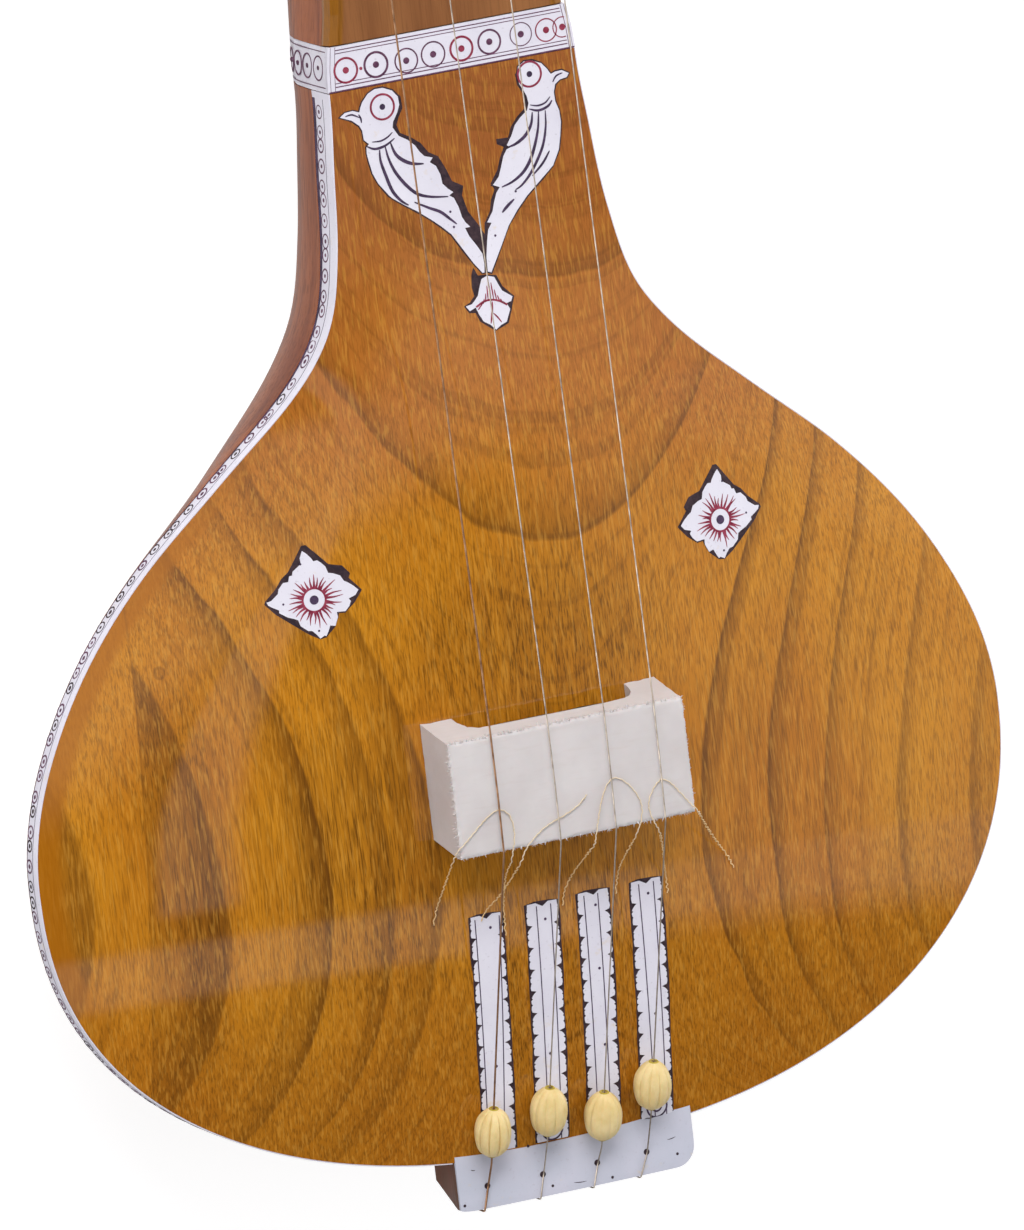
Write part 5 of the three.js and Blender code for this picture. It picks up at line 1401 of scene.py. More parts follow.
def face_plate(gather, outline, low, high):
    """A thin plate that follows the soundboard, cut to an outline."""
    corners = [Vector(p) for p in outline]
    inside = delaunay_2d_cdt(corners, [], [list(range(len(corners)))], 1, 1e-6)
    work = bmesh.new()
    ring = [work.verts.new((p.x, p.y, 0)) for p in inside[0]]
    for face in inside[2]:
        work.faces.new([ring[k] for k in face])
    xs, ys = [p[0] for p in outline], [p[1] for p in outline]
    for axis, (start, end) in enumerate(((min(xs), max(xs)), (min(ys), max(ys)))):
        count = int((end - start) / PLATE_CELL)
        for i in range(1, count + 1):
            at = mix(start, end, i / (count + 1))
            spot = Vector((at, 0, 0)) if axis == 0 else Vector((0, at, 0))
            normal = Vector((1, 0, 0)) if axis == 0 else Vector((0, 1, 0))
            geometry = work.verts[:] + work.edges[:] + work.faces[:]
            bmesh.ops.bisect_plane(work, geom=geometry, plane_co=spot, plane_no=normal, dist=1e-5)
    work.verts.index_update()
    count = len(work.verts)
    flat = [(v.co.x, v.co.y) for v in work.verts]
    top = [on_face(x, y, high) for x, y in flat]
    bottom = [on_face(x, y, low) for x, y in flat]
    faces = []
    for f in work.faces:
        loop = [v.index for v in f.verts]
        faces += [tuple(loop), tuple(i + count for i in loop[::-1])]
    for e in work.edges:
        if len(e.link_faces) == 1:
            a, b = e.verts[0].index, e.verts[1].index
            faces.append((a, b, b + count, a + count))
    work.free()
    gather.add([*top, *bottom], faces)


def grown(outline, distance, wobble=0.0):
    """The outline moved outwards, unevenly if it is to look cut by hand."""
    pts = [Vector(p[:2]) for p in outline]
    sign = 1 if turning(pts) > 0 else -1
    out = []
    for i, p in enumerate(pts):
        a = (p - pts[i - 1]).normalized()
        b = (pts[(i + 1) % len(pts)] - p).normalized()
        n = Vector((a.y + b.y, -a.x - b.x))
        n = n.normalized() if n.length > 1e-6 else Vector((a.y, -a.x))
        spread = max(abs(n.x * a.y - n.y * a.x), 0.6)
        out.append(p + n * sign * (distance / spread + random.uniform(-wobble, wobble)))
    return [(p.x, p.y) for p in out]


def face_up(p):
    return face_normal(p[0], p[1])


def engraved(gather, points, width, per=7, taper=True):
    """A cut in an inlay along points, narrow at its ends unless it has no taper."""
    path = [on_face(p.x, p.y, ENGRAVING_LIFT) for p in spline([(*q, 0) for q in points], per)]
    n = len(path) - 1
    widths = width
    if taper:
        shares = [min(max(i / n, 0.02), 0.98) for i in range(n + 1)]
        widths = [width * (0.25 + 0.75 * math.sin(math.pi * share) ** 0.7) for share in shares]
    gather.stroke(path, widths, face_up, CUT_HEIGHT)


def inlay_plate(name, outline, node):
    gather = Gather()
    face_plate(gather, outline, PLATE_BOTTOM, PLATE_TOP)
    gather.piece(name, WHITE, "celluloid", stands_for=(node,))


def mastic_and_shadow_sheet(outline, below=0.0):
    """A dark sheet round an inlay, so far below the mastic's usual height: the mastic that fills
    the cut, and also the painted shadow beside an inlay.
    """
    face_plate(dark, outline, MASTIC_BOTTOM, MASTIC_TOP - below)


def dot(gather, x, y, radius, lift, height, sides=14):
    gather.disc(on_face(x, y, lift), radius, face_normal(x, y), height, sides)


ink_and_hole_shade, crimson, dark = Gather(), Gather(), Gather()
for word, bird in BIRDS.items():
    inlay_plate(f"bird_plate_{word}", bird["outline"], f"bird_{word}")
    mastic_and_shadow_sheet(grown(bird["outline"], MASTIC_WIDTH, MASTIC_WOBBLE))
    # Painted shadow beside the bird, a little below the mastic
    mastic_and_shadow_sheet(bird["painted_shadow"], SHADOW_SHEET_DROP)
    x, y = bird["eye"]
    crimson.circle(on_face(x, y, CUT_LIFT), 4.1, 0.7, face_normal(x, y), CUT_HEIGHT, sides=40)
    dot(ink_and_hole_shade, x, y, 1.0, CUT_LIFT, CUT_HEIGHT)
    for width, points in bird["cuts"]:
        engraved(ink_and_hole_shade, points, width)
    for x, y in bird["dots"]:
        dot(ink_and_hole_shade, x, y, 0.42, CUT_LIFT, CUT_HEIGHT, sides=9)
inlay_plate("lotus_plate", LOTUS, "lotus")
# Painted shadow round the lotus
mastic_and_shadow_sheet(LOTUS_PAINTED_SHADOW, 2 * SHADOW_SHEET_DROP)
engraved(crimson, LOTUS_ARC, 0.65, taper=False)
for width, points in LOTUS_CUTS:
    engraved(crimson, points, width)
for k in range(11):
    u = k / 10
    x = mix(-2.4, 7.6, u)
    y = 167.1 - 2.4 * (2 * u - 1) ** 2
    tall = 1.2 + 5.2 * math.exp(-((u - 0.52) / 0.2) ** 2)
    points = [(x, y), (mix(x, 3.1, 0.12), y + tall * 0.5), (mix(x, 3.1, 0.2), y + tall)]
    engraved(crimson, points, 0.42, per=3)

# Rosettes round the sound holes: the right one mirrors the left one, moved a little
ROSETTE_MIDDLE = (-71.8, 81.4)
ROSETTE_SHIFT = (2.0, -0.5)
ROSETTE_DOTS = [(-74.6, 93.6), (-82.0, 81.6), (-71.6, 71.2)]
ROSETTE_RAYS = 30


def rosette(word, side):
    def turn(points):
        if side < 0:
            return points
        return [(ROSETTE_SHIFT[0] - x, ROSETTE_SHIFT[1] + y) for x, y in points]

    centre = Vector(turn([ROSETTE_MIDDLE])[0])
    inlay_plate(f"rosette_plate_{word}", turn(ROSETTE), f"rosette_{word}")
    # Painted shadow round the rosette
    mastic_and_shadow_sheet(turn(ROSETTE_PAINTED_SHADOW))
    middle, normal = on_face(*centre, CUT_LIFT), face_normal(*centre)
    crimson.circle(middle, 3.85, 0.65, normal, CUT_HEIGHT, sides=40)
    # Painted shade: a dark disc over the middle, where the sound hole is
    ink_and_hole_shade.disc(middle, 1.5, normal, CIRCLE_HEIGHT, sides=20)
    for k in range(ROSETTE_RAYS):
        angle = 2 * math.pi * k / ROSETTE_RAYS + random.uniform(-0.05, 0.05)
        start, end = 3.7, random.uniform(6.8, 9.8)
        ray = Vector((math.cos(angle), math.sin(angle)))
        bend = Vector((-ray.y, ray.x)) * random.uniform(-0.35, 0.35)
        points = [centre + ray * start, centre + ray * (start + end) / 2 + bend, centre + ray * end]
        path = [on_face(p.x, p.y, CUT_LIFT) for p in spline([(*q, 0) for q in points], 4)]
        n = len(path) - 1
        crimson.stroke(path, [mix(0.95, 0.12, i / n) for i in range(n + 1)], face_up, CUT_HEIGHT)
    for x, y in turn(ROSETTE_DOTS):
        dot(ink_and_hole_shade, x, y, 0.38, CUT_LIFT, CUT_HEIGHT, sides=8)


rosette("left", -1)
rosette("right", 1)

# Scalloped strips under the strings
STRIPS = [
    {"top": (-26.6, -31.8), "end": (-26.5, -112.9), "lines": ((-30.5, -30.4), (-21.9, -24.9)),
     "nails": ((-25.3, -36.3), (-26.4, -83.6)), "ring": False},
    {"top": (-6.6, -31.4), "end": (-7.6, -112.9), "lines": ((-8.6, -9.0), (-3.5, -4.4)),
     "nails": ((-5.8, -37.2), (-7.1, -83.0)), "ring": True},
    {"top": (11.8, -31.2), "end": (11.2, -112.9), "lines": ((8.5, 9.0), (13.5, 13.5)),
     "nails": ((12.4, -36.0), (12.2, -57.6), (12.6, -83.9)), "ring": False},
    {"top": (31.0, -31.2), "end": (30.4, -112.9), "lines": ((28.4, 29.7), (33.8, 33.9)),
     "nails": ((31.6, -35.9), (31.4, -77.1)), "ring": True},
]
STRIP_HALF = 5.6
STRIP_RING_Y = -109.2
LOBES = 11
# One lobe of a strip's edge: share of its length, distance outwards
LOBE_EDGE = [
    (0, -1.9), (0.08, -1), (0.18, -0.4), (0.28, 0), (0.33, -0.4), (0.4, 0.05), (0.54, 0),
    (0.6, -0.42), (0.66, 0), (0.8, 0.1), (0.93, -0.15),
]


def strip_outline(strip):
    (x0, y0), (x1, y1) = strip["top"], strip["end"]
    edges = {1: [], -1: []}
    for side in (1, -1):
        for k in range(LOBES):
            for u, out in LOBE_EDGE:
                v = (k + u) / LOBES
                reach = STRIP_HALF + (out if k else max(out, -0.3)) + random.uniform(-0.12, 0.12)
                edges[side].append((mix(x0, x1, v) + side * reach, mix(y0, y1, v)))
        edges[side].append((x1 + side * (STRIP_HALF - 0.2), y1))
    notch = STRIP_HALF * 0.4
    top = [(x0 - notch, y0 + 0.1), (x0 + 0.2, y0 - 1.3), (x0 + notch, y0 + 0.1)]
    return [*edges[1], *edges[-1][::-1], *top]


for number, strip in enumerate(STRIPS, 1):
    (x0, y0), (x1, y1) = strip["top"], strip["end"]
    inlay_plate(f"strip_plate_{number}", strip_outline(strip), f"inlay_strip_{number}")
    border = []
    for side in (1, -1):
        run = []
        for k in range(13):
            reach = STRIP_HALF + 0.5 + random.uniform(-0.15, 0.3)
            run.append((mix(x0, x1, k / 12) + side * reach, mix(y0, y1, k / 12)))
        border += run if side > 0 else run[::-1]
    border += [(x0 - STRIP_HALF * 0.5, y0 + 0.7), (x0 + STRIP_HALF * 0.5, y0 + 0.5)]
    mastic_and_shadow_sheet(border)
    for top_x, end_x in strip["lines"]:
        spots = [(mix(top_x, end_x, v), mix(y0 - 1, y1, v)) for v in np.linspace(0, 1, 24)]
        path = [on_face(*spot, PLATE_TOP) for spot in spots]
        ink_and_hole_shade.stroke(path, 0.36, face_up, LINE_HEIGHT)
    for x, y in strip["nails"]:
        dot(ink_and_hole_shade, x, y, 0.5, PLATE_TOP, CIRCLE_HEIGHT, sides=9)
    if strip["ring"]:
        x, y = mix(x0, x1, 0.95), STRIP_RING_Y
        for radius in (3.6, 1.6):
            spot = on_face(x, y, RING_LIFT)
            ink_and_hole_shade.circle(spot, radius, 0.6, face_normal(x, y), LINE_HEIGHT, sides=30)
        dot(ink_and_hole_shade, x, y, 0.6, RING_LIFT, LINE_HEIGHT)

# The dark sheets: mastic round the inlays, and painted shadow beside the birds, the lotus and the
# rosettes
dark.piece("mastic", BLACK, "celluloid")
ink_and_hole_shade.piece("engraving_and_hole_shade", PURPLE, "celluloid")
crimson.piece("red_engraving", RED, "celluloid")

# Bridge
BRIDGE_Y, BRIDGE_WIDTH, BRIDGE_LENGTH = 12.0, 84.0, 38.5
BRIDGE_TOP_Z = 30.0
PLATE_THICKNESS = 3.0
PLATE_COLUMNS, PLATE_ROWS = 260, 120
SPLINTERS = 520
FOOT_LEAN, DECK_THICKNESS = 3.5, 7.0
ARCH_FOOT, ARCH_DECK = 31.0, 25.0
WEAR_REACH, RAGGED_REACH, FILED_EDGE = 1.6, 0.7, 0.3


def rough_at(p, size, amount):
    return noise.noise(Vector(p) / size) * amount


def bridge_plate():
    """The plate, with edges left rough by the file."""
    nx, ny = PLATE_COLUMNS, PLATE_ROWS
    points, faces = [], []
    half = BRIDGE_WIDTH / 2
    for j in range(ny + 1):
        v = mix(-0.5, 0.5, j / ny)
        for i in range(nx + 1):
            u = mix(-1, 1, i / nx)
            x = u * half
            y = BRIDGE_Y + v * BRIDGE_LENGTH
            near_x = half - abs(x)
            near_y = BRIDGE_LENGTH / 2 - abs(v) * BRIDGE_LENGTH
            near = min(near_x, near_y)
            curve = 0.5 * (2 * v) ** 2
            wear = max(0.0, 1 - near / WEAR_REACH) ** 2 * (0.5 + rough_at((x, y, 3), 2.2, 0.6))
            ragged = max(0.0, 1 - near / RAGGED_REACH) * abs(rough_at((x, y, 9), 0.9, 1.0))
            z = BRIDGE_TOP_Z - curve - max(wear, 0) * 0.8 - ragged * 0.5
            z += rough_at((x * 0.3, y, 1), 1.4, 0.02)
            if near_x < FILED_EDGE:
                x -= math.copysign(max(0.0, rough_at((y, 5, 2), 0.5, 0.5)), x)
            if near_y < FILED_EDGE:
                y -= math.copysign(max(0.0, rough_at((x, 7, 4), 0.5, 0.5)), v)
            points.append((x, y, z))
    count = len(points)
    w = nx + 1
    points += [(x, y, BRIDGE_TOP_Z - PLATE_THICKNESS) for x, y, _ in points]
    for j in range(ny):
        for i in range(nx):
            a = j * w + i
            faces.append((a, a + 1, a + w + 1, a + w))
            faces.append((a + count, a + w + count, a + w + 1 + count, a + 1 + count))
    border = list(range(nx)) + [j * w + nx for j in range(ny)]
    border += [ny * w + i for i in range(nx, 0, -1)] + [j * w for j in range(ny, 0, -1)]
    for a, b in zip(border, border[1:] + border[:1]):
        faces.append((a, a + count, b + count, b))
    make_piece("bridge_plate", points, faces, BONE, "bone", stands_for=("bridge_top",), angle=50)


bridge_plate()


def bridge_splinters():
    """Small splinters left by the file along the plate's edges."""
    gather = Gather()
    half, reach = BRIDGE_WIDTH / 2, BRIDGE_LENGTH / 2
    for _ in range(SPLINTERS):
        edge = random.random()
        if edge < 0.4:
            x, y, out = random.uniform(-half, half), BRIDGE_Y + reach, Vector((0, 1, 0))
        elif edge < 0.7:
            x, y, out = random.uniform(-half, half), BRIDGE_Y - reach, Vector((0, -1, 0))
        elif edge < 0.92:
            x, y, out = -half, BRIDGE_Y + random.uniform(-reach, reach), Vector((-1, 0, 0))
        else:
            x, y, out = half, BRIDGE_Y + random.uniform(-reach, reach), Vector((1, 0, 0))
        down = random.choice((0.7, 0.8, 1.0, 2.7))
        root = Vector((x, y, BRIDGE_TOP_Z - down)) - out * 0.5
        along = (out + Vector([random.uniform(-0.9, 0.9) * (1 - abs(c)) for c in out])
                 + Vector((0, 0, random.uniform(-0.1, 0.25)))).normalized()
        size = random.uniform(0.12, 0.36)
        tip = root + along * random.uniform(0.8, 1.75)
        u = along.orthogonal().normalized() * size
        v = along.cross(u)
        gather.add([root + u, root - u * 0.5 + v * 0.8, root - u * 0.5 - v * 0.8, tip],
                   [(0, 1, 3), (1, 2, 3), (2, 0, 3), (2, 1, 0)])
    gather.piece("bridge_splinters", BONE, "bone", angle=30)


bridge_splinters()


def bridge_base():
    """The base: a block with an arch between its feet, leaning towards the neck at its foot."""
    top = BRIDGE_TOP_Z - PLATE_THICKNESS
    half = BRIDGE_WIDTH / 2
    deck = top - DECK_THICKNESS

    def foot(x):
        return face_z(x, BRIDGE_Y) + 0.1

    outline = [(mix(half, -half, i / 24), top) for i in range(25)]
    outline += [(-half, mix(top, foot(-half), i / 8)) for i in range(1, 9)]
    sole = [mix(-half, -ARCH_FOOT, i / 6) for i in range(1, 7)]
    outline += [(x, foot(x)) for x in sole]
    arch = []
    for i in range(1, 13):
        a = i / 12 * math.pi / 2
        x = -ARCH_FOOT + (ARCH_FOOT - ARCH_DECK) * (1 - math.cos(a))
        arch.append((x, mix(foot(-ARCH_FOOT), deck, math.sin(a) ** 0.8)))
    outline += arch
    outline += [(mix(-ARCH_DECK, ARCH_DECK, i / 16), deck) for i in range(1, 16)]
    outline += [(-x, z) for x, z in arch[::-1]]
    outline += [(ARCH_FOOT, foot(ARCH_FOOT))]
    sole = [mix(ARCH_FOOT, half, i / 6) for i in range(1, 7)]
    outline += [(x, foot(x)) for x in sole]
    outline += [(half, mix(foot(half), top, i / 8)) for i in range(1, 8)]
    rows = []
    for j in range(25):
        v = mix(-0.5, 0.5, j / 24)
        row = []
        for x, z in outline:
            lean = FOOT_LEAN * (top - z) / (top - CROWN_RISE)
            y = BRIDGE_Y + v * BRIDGE_LENGTH + lean
            chip = abs(rough_at((x, z, j), 1.5, 0.5)) if j in (0, 24) else 0.0
            if abs(x) > 40:
                x += math.copysign(1.0, x) * (rough_at((y, z, 2), 1.6, 0.15) - 0.12)
            row.append((x, y - math.copysign(chip, v), z))
        rows.append(row)
    rows_piece("bridge_block", rows, BONE, "bone", stands_for=("bridge_base",), angle=45)


bridge_base()

# Tuning beads
TAIL_STRING_X = [-32.4, -12.6, 7.0, 25.0]
BRIDGE_REAR_X = [-27.6, -7.1, 12.7, 30.4]
BEAD_Y = [-104.2, -101.0, -106.5, -99.6]
STRING_RADII = [0.35, 0.25, 0.25, 0.25]
THREAD_RADIUS = 0.35
BEAD_SIDES, BEAD_RIBS, COLLAR_SIDES = 120, 5, 28
BEAD_RADIUS, BEAD_LENGTH, BEAD_BORE, BEAD_LIFT = 6.2, 17.0, 1.1, 0.6
BEAD_PROFILE = [
    (-1, 0.18), (-0.97, 0.32), (-0.9, 0.5), (-0.75, 0.74), (-0.5, 0.92), (-0.2, 1), (0.15, 1),
    (0.45, 0.91), (0.7, 0.73), (0.86, 0.53), (0.95, 0.36), (0.99, 0.26), (1, 0.18),
]

# Collar of a bore: radius, distance past the bead's end
COLLAR = [(BEAD_BORE, 0.14), (BEAD_BORE + 0.4, 0.2), (BEAD_BORE + 0.6, -0.2), (BEAD_BORE, -0.2)]


def bead_frame(i):
    rear_y = BRIDGE_Y - BRIDGE_LENGTH / 2
    off_y = -BOWL_TO_TAIL - STRING_HOLE_REACH
    lift = 2 * THREAD_RADIUS + GAP + STRING_RADII[i]
    x = mix(TAIL_STRING_X[i], BRIDGE_REAR_X[i], (BEAD_Y[i] - off_y) / (rear_y - off_y))
    centre = Vector((x, BEAD_Y[i], face_z(x, BEAD_Y[i]) + BEAD_RADIUS + BEAD_LIFT))
    rear = Vector((BRIDGE_REAR_X[i], rear_y, BRIDGE_TOP_Z + lift))
    return centre, (rear - centre).normalized()


for i in range(4):
    centre, along = bead_frame(i)
    u = Vector((1, 0, 0))
    u = (u - along * u.dot(along)).normalized()
    v = along.cross(u)
    rows = []
    for p in spline([(*q, 0) for q in BEAD_PROFILE], 3):
        ring = []
        for angle in [a + 0.3 * i for a in turns(BEAD_SIDES)]:
            wide = abs(math.cos(BEAD_RIBS * angle)) ** 0.4
            fine = abs(math.sin(3 * BEAD_RIBS * angle + i))
            depth = 0.14 * (1 - wide) + 0.015 * fine
            reach = p.y * BEAD_RADIUS * (1 - depth * min(1.0, 1.3 * p.y))
            reach *= 1 + 0.02 * math.sin(angle * 2 + p.x * 2 + i)
            out = (u * math.cos(angle) + v * math.sin(angle)) * reach
            ring.append(centre + along * p.x * BEAD_LENGTH / 2 + out)
        rows.append(ring)
    for end in (1.0, -1.0):
        middle = centre + along * end * BEAD_LENGTH / 2 * 0.995
        rows.append(ring_points(middle, u, v, BEAD_BORE, BEAD_SIDES))
    rows_piece(f"bead_body_{i + 1}", rows, BEAD, "bead", ring=True, body=f"bead_{i + 1}",
               stands_for=(f"bead_{i + 1}",), angle=60)
    collar = Gather()
    for end in (1.0, -1.0):
        ring_rows = []
        for radius, out in COLLAR:
            middle = centre + along * end * (BEAD_LENGTH / 2 + out)
            ring_rows.append(ring_points(middle, u, v, radius, COLLAR_SIDES))
        collar.rows(ring_rows, ring=True)
    collar.piece(f"bead_bore_{i + 1}", BORE, "bead", body=f"bead_{i + 1}")

# Tailpiece
TAIL_LIP, TAIL_LIP_DEPTH, TAIL_DEPTH, TAIL_STRAIGHT, TAIL_END = 5.5, 3.8, 17.0, 6.0, 3.0
LIP_LEFT, LIP_RIGHT = 2.4, 3.9
TAIL_CORNER = 7.0
TAIL_COLUMNS = 60
TAIL_NAILS = [
    (-16.6, -113.2), (10.6, -114.6), (-41, -128.6), (-9.6, -128), (11.8, -129.4), (36, -126.4),
]
TAIL_EDGE, TAIL_PLATE, TAIL_UNDER = 0.18, 1.0, 1.05


def tail_top(x):
    return face_z(x, TAIL_LIP - BOWL_TO_TAIL)


def tail_column(x):
    station = Station(share=abs(x) / BOWL_HALF_WIDTH)
    beyond = max(0.0, abs(x) - (TAIL_HALF_WIDTH - TAIL_CORNER))
    corner = TAIL_CORNER - math.sqrt(max(TAIL_CORNER ** 2 - beyond ** 2, 0.0))
    if x < 0:
        corner *= 0.15
    lip = mix(LIP_LEFT, LIP_RIGHT, (x + TAIL_HALF_WIDTH) / (2 * TAIL_HALF_WIDTH))
    end = -BOWL_TO_TAIL - TAIL_REACH + corner
    return station.inset(lip)[1], station.inset(0)[1], end, tail_top(x)


plate_rows, block_rows = [], []
for i in range(TAIL_COLUMNS + 1):
    x = -TAIL_HALF_WIDTH * math.cos(math.pi * i / TAIL_COLUMNS)
    lip, rim, end, top = tail_column(x)
    run = [mix(lip, end, k / 10) for k in range(11)]
    upper = [(x, y, top - (TAIL_EDGE if y in (run[0], run[-1]) else 0.0)) for y in run]
    plate_rows.append([*upper, (x, end, top - TAIL_PLATE), (x, lip, top - TAIL_PLATE)])
    under = top - TAIL_UNDER
    low, lip_low = under - TAIL_DEPTH, top - TAIL_LIP_DEPTH
    section = [(lip, under), (end, under), (end, under - TAIL_END * 0.6)]
    section += [(end + 0.6, under - TAIL_END), (-BOWL_TO_TAIL - TAIL_STRAIGHT, low)]
    section += [(rim - GAP, low), (rim - GAP, lip_low), (lip, lip_low)]
    block_rows.append([(x, y, z) for y, z in section])
rows_piece("tail_plate", plate_rows, PLATE, "celluloid", stands_for=("tailpiece_plate",))
rows_piece("tail_wedge", block_rows, WEDGE, "bowl_wood", stands_for=("tailpiece_block",), angle=30)
tail_dark = Gather()
# Painted shade: dark discs over the string holes, in the mastic's colour
for x in TAIL_STRING_X:
    spot = (x, -BOWL_TO_TAIL - STRING_HOLE_REACH, tail_top(x))
    tail_dark.disc(spot, 1.05, up, LINE_HEIGHT, sides=18)
for x, y in TAIL_NAILS:
    tail_dark.disc((x, y, tail_top(x)), 0.5, up, LINE_HEIGHT, sides=9)
TAIL_SCRATCHES = [
    ((6, -113), (13, -113.6)), ((26, -112.4), (29, -112.6)), ((-2, -128.4), (2.5, -128.8)),
    ((-37.5, -117.2), (-36, -117.6)), ((33, -121), (36, -120.6)),
]
for a, b in TAIL_SCRATCHES:
    path = []
    for k in range(5):
        x, sag = mix(a[0], b[0], k / 4), 0.15 * math.sin(math.pi * k / 4)
        path.append(Vector((x, mix(a[1], b[1], k / 4) - sag, tail_top(x))))
    tail_dark.stroke(path, [0.1, 0.26, 0.3, 0.24, 0.1], straight_up, CUT_HEIGHT)
tail_dark.piece("tail_holes", BLACK, "celluloid")

# Tail pins, strings and windings: the left string is bronze
for number, wire_look in enumerate((BRONZE, STEEL, STEEL, STEEL), 1):
    keep(f"tail_pin_{number}", PIN)
    keep(f"string_{number}", wire_look)
    keep(f"peg_winding_{number}", wire_look)

# Neck, nut and guide, and the blocks inside
keep("neck_faceplate", NECK, bevel=0.2)
keep("heel_block", BARE)
keep("tail_block", BARE)
keep("nut", BONE, bevel=0.25)
keep("string_guide", BONE, bevel=0.3)

# Pegs
PEG_PROFILE = [
    (0, 0.52), (0.05, 0.55), (0.1, 0.42), (0.16, 0.46), (0.24, 0.72), (0.38, 0.95), (0.52, 1),
    (0.66, 0.93), (0.78, 0.7), (0.84, 0.42), (0.88, 0.26), (0.93, 0.3), (0.98, 0.2),
]
PEG_HEAD_LENGTH, PEG_HEAD_RADIUS = 36.0, 15.5
PEG_SIDES, PEG_FLUTES, PEG_POINT = 72, 16, 0.01
SHANK, TIP, BLIND, STAND_OFF = 5.0, 4.0, 4.0, 9.5
SIDE_PEGS, SIDE_PEG_Z = ((1, -1, 70.0), (4, 1, 102.0)), -22.0
FACE_PEGS, FACE_PEG_X, FACE_PEG_FROM_NUT = ((2, -1), (3, 1)), 18.5, 142.0


def make_peg(number, origin, axis, length):
    axis = Vector(axis)
    origin = Vector(origin)
    u = axis.orthogonal().normalized()
    v = axis.cross(u)
    profile = [(PEG_POINT, -length), (TIP, -length), (TIP, -length + 3 * BLIND)]
    profile += [(SHANK, -length + 5 * BLIND), (SHANK, -0.4)]
    head = spline([(*q, 0) for q in PEG_PROFILE], 6)
    profile += [(p.y * PEG_HEAD_RADIUS, p.x * PEG_HEAD_LENGTH) for p in head]
    profile += [(PEG_POINT, PEG_HEAD_LENGTH)]
    rows = []
    for r, along in profile:
        ring, share = [], along / PEG_HEAD_LENGTH
        bulb = smooth((share - 0.2) / 0.12) * (1 - smooth((share - 0.72) / 0.1))
        for a in turns(PEG_SIDES):
            flute = 1 - 0.035 * bulb * (1 - abs(math.sin(PEG_FLUTES * a / 2)))
            ring.append(origin + axis * along + (u * math.cos(a) + v * math.sin(a)) * r * flute)
        rows.append(ring)
    name = f"peg_{number}"
    rows_piece(f"peg_body_{number}", rows, PEG, "peg_wood", body=name, stands_for=(name,), angle=45)


for number, side, from_nut in SIDE_PEGS:
    y = NUT_Y + from_nut
    out = half_width(y) + STAND_OFF
    length = half_width(y) - SHELL_WALL + out + BLIND
    make_peg(number, (side * out, y, SIDE_PEG_Z), (side, 0, 0), length)
for number, side in FACE_PEGS:
    y = NUT_Y + FACE_PEG_FROM_NUT
    length = STAND_OFF + body_depth(y) - SHELL_FLOOR + BLIND
    make_peg(number, (side * FACE_PEG_X, y, STAND_OFF), (0, 0, 1), length)

# Carved cap at the head: share of its length, scale of the section, drop of its face
CAP_SECTIONS = [
    (0.012, 1, 0), (0.15, 1, 0), (0.175, 0.985, 0.4), (0.2, 0.93, 1.25), (0.3, 0.93, 1.25),
    (0.33, 0.975, 0.5), (0.36, 1, 0), (0.48, 0.995, 0), (0.62, 0.97, 0), (0.74, 0.925, 0.9),
    (0.84, 0.86, 2.5), (0.93, 0.76, 3.6), (1, 0.62, 5),
]


def head_cap():
    w, depth = half_width(HEAD_END), body_depth(HEAD_END)
    rows = []
    for u, scale, drop in CAP_SECTIONS:
        y = HEAD_END + CAP_LENGTH * u
        rim = (w * scale, y)
        bend = -strip_height(y) * scale
        curve = hollow_curve(rim, y, bend, -depth * scale, -BOWL_DEPTH, NECK_POWERS)
        edge = [(rim[0] - FACE_ROUND * (1 - math.cos(t)), y, -FACE_ROUND * (1 - math.sin(t)) - drop)
                for t in np.linspace(0, math.pi / 2, 6)]
        half = [*curve, *edge, (0.0, y, -drop)]
        rows.append(whole_loop(half))
    rows_piece("head_end", rows, BOWL, "bowl_wood", stands_for=("head_cap",), angle=40)


head_cap()

# Floor and light
FLOOR_HALF, FLOOR_DROP = 7.0, 0.0004
FLOOR_GREY, FLOOR_SEEN, FLOOR_GLOW = (0.6, 0.6, 0.6), (0.42, 0.42, 0.42), 0.78
PLAIN_WHITE = (1, 1, 1)
ROOM_COLOUR, ROOM_LEVEL = (0.95, 0.97, 1.0), 0.05

floor_mesh = bpy.data.meshes.new("floor")
corners = [(-1, -1), (1, -1), (1, 1), (-1, 1)]
corners = [(x * FLOOR_HALF, y * FLOOR_HALF, -FLOOR_DROP) for x, y in corners]
floor_mesh.from_pydata(corners, [], [(0, 1, 2, 3)])
floor = bpy.data.objects.new("floor", floor_mesh)
scene.collection.objects.link(floor)


def floor_look():
    """Pale grey, and for the camera white apart from the shadow."""
    material = bpy.data.materials.new("floor_look")
    material.use_nodes = True
    material.node_tree.nodes.clear()
    look = Nodes(material.node_tree)
    both = look.node("ShaderNodeAddShader")
    look.plug(both.inputs[0], look.shader("ShaderNodeBsdfDiffuse", FLOOR_SEEN))
    look.plug(both.inputs[1], look.shader("ShaderNodeEmission", PLAIN_WHITE, FLOOR_GLOW))
    grey = look.shader("ShaderNodeBsdfDiffuse", FLOOR_GREY)
    look.choose_by_camera("ShaderNodeOutputMaterial", grey, both.outputs[0])
    return material


floor_mesh.materials.append(floor_look())


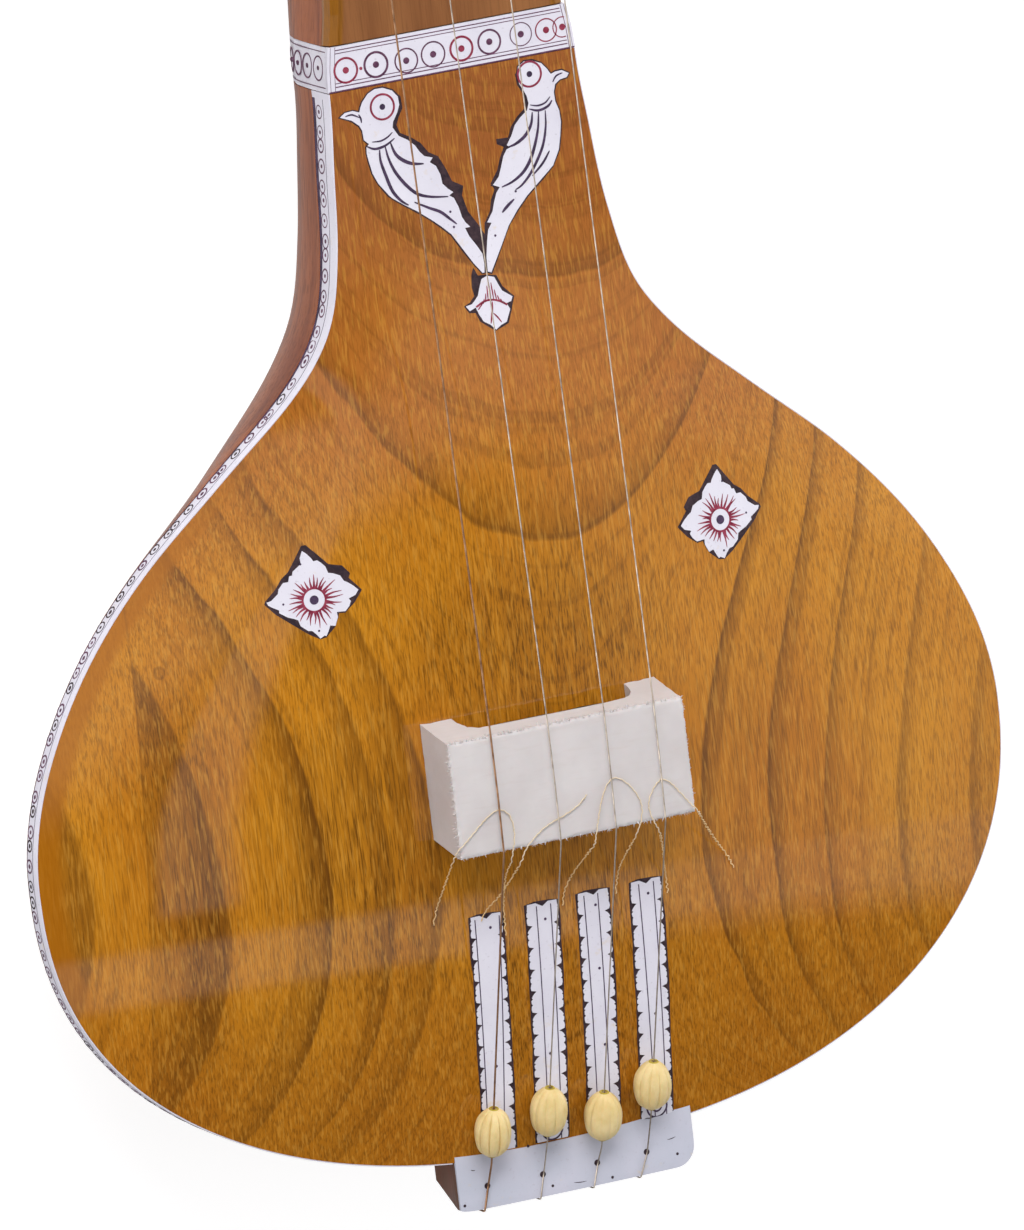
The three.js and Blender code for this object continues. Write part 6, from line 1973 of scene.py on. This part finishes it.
# Soft panels of the room, which the lacquer mirrors. A panel is the product of its steps. A step is
# the axis of the direction, the two places between which it changes, and the levels there.
ROOM_PANELS = [
    [(1, -0.12, 0.06, 0.0, 0.7)],
    [(0, 0.3, 0.56, 0.0, 0.55), (1, -0.42, -0.395, 0.0, 1.0)],
    [(1, -0.405, -0.39, 0.0, 0.8), (1, -0.345, -0.325, 1.0, 0.0)],
    [(0, -0.03, -0.01, 0.0, 0.8), (0, 0.05, 0.09, 1.0, 0.0), (1, -0.3, -0.27, 0.0, 1.0)],
]


def room_level(room):
    """Brightness by direction."""
    parts = room.node("ShaderNodeSeparateXYZ")
    room.plug(parts.inputs[0], room.node("ShaderNodeTexCoord").outputs["Generated"])
    level = 0.0
    for panel in ROOM_PANELS:
        part = 1.0
        for axis, *values in panel:
            part = room.times(part, room.soft(parts.outputs[axis], *values))
        level = room.most(level, part)
    return room.plus(level, ROOM_LEVEL)


world = bpy.data.worlds.new("world")
scene.world = world
world.use_nodes = True
world.node_tree.nodes.clear()
room = Nodes(world.node_tree)
soft = room.shader("ShaderNodeBackground", ROOM_COLOUR, room_level(room))
white = room.shader("ShaderNodeBackground", PLAIN_WHITE, 1.0)
room.choose_by_camera("ShaderNodeOutputWorld", soft, white)


def lamp(name, at, towards, size, power, colour=(1, 1, 1)):
    data = bpy.data.lights.new(name, "AREA")
    data.shape = "RECTANGLE"
    data.size, data.size_y = size
    data.energy = power
    data.color = colour
    obj = bpy.data.objects.new(name, data)
    scene.collection.objects.link(obj)
    obj.location = at
    obj.rotation_mode = "QUATERNION"
    obj.rotation_quaternion = (Vector(towards) - Vector(at)).to_track_quat("-Z", "Y")


TARGET = (0.0, 0.1, 0.08)
lamp("key", (-0.7, 3.0, 3.0), TARGET, (3.0, 1.6), 122, (1.0, 0.985, 0.96))
lamp("fill", (0.6, -3.2, 1.7), TARGET, (2.8, 1.4), 30, (0.97, 0.985, 1.0))
lamp("right", (3.8, 1.2, 1.0), TARGET, (1.6, 1.2), 46, (1.0, 0.985, 0.96))
lamp("side", (-3.0, -0.2, 1.6), TARGET, (1.8, 1.4), 26, (1.0, 0.985, 0.97))

scene.view_settings.view_transform = "Standard"
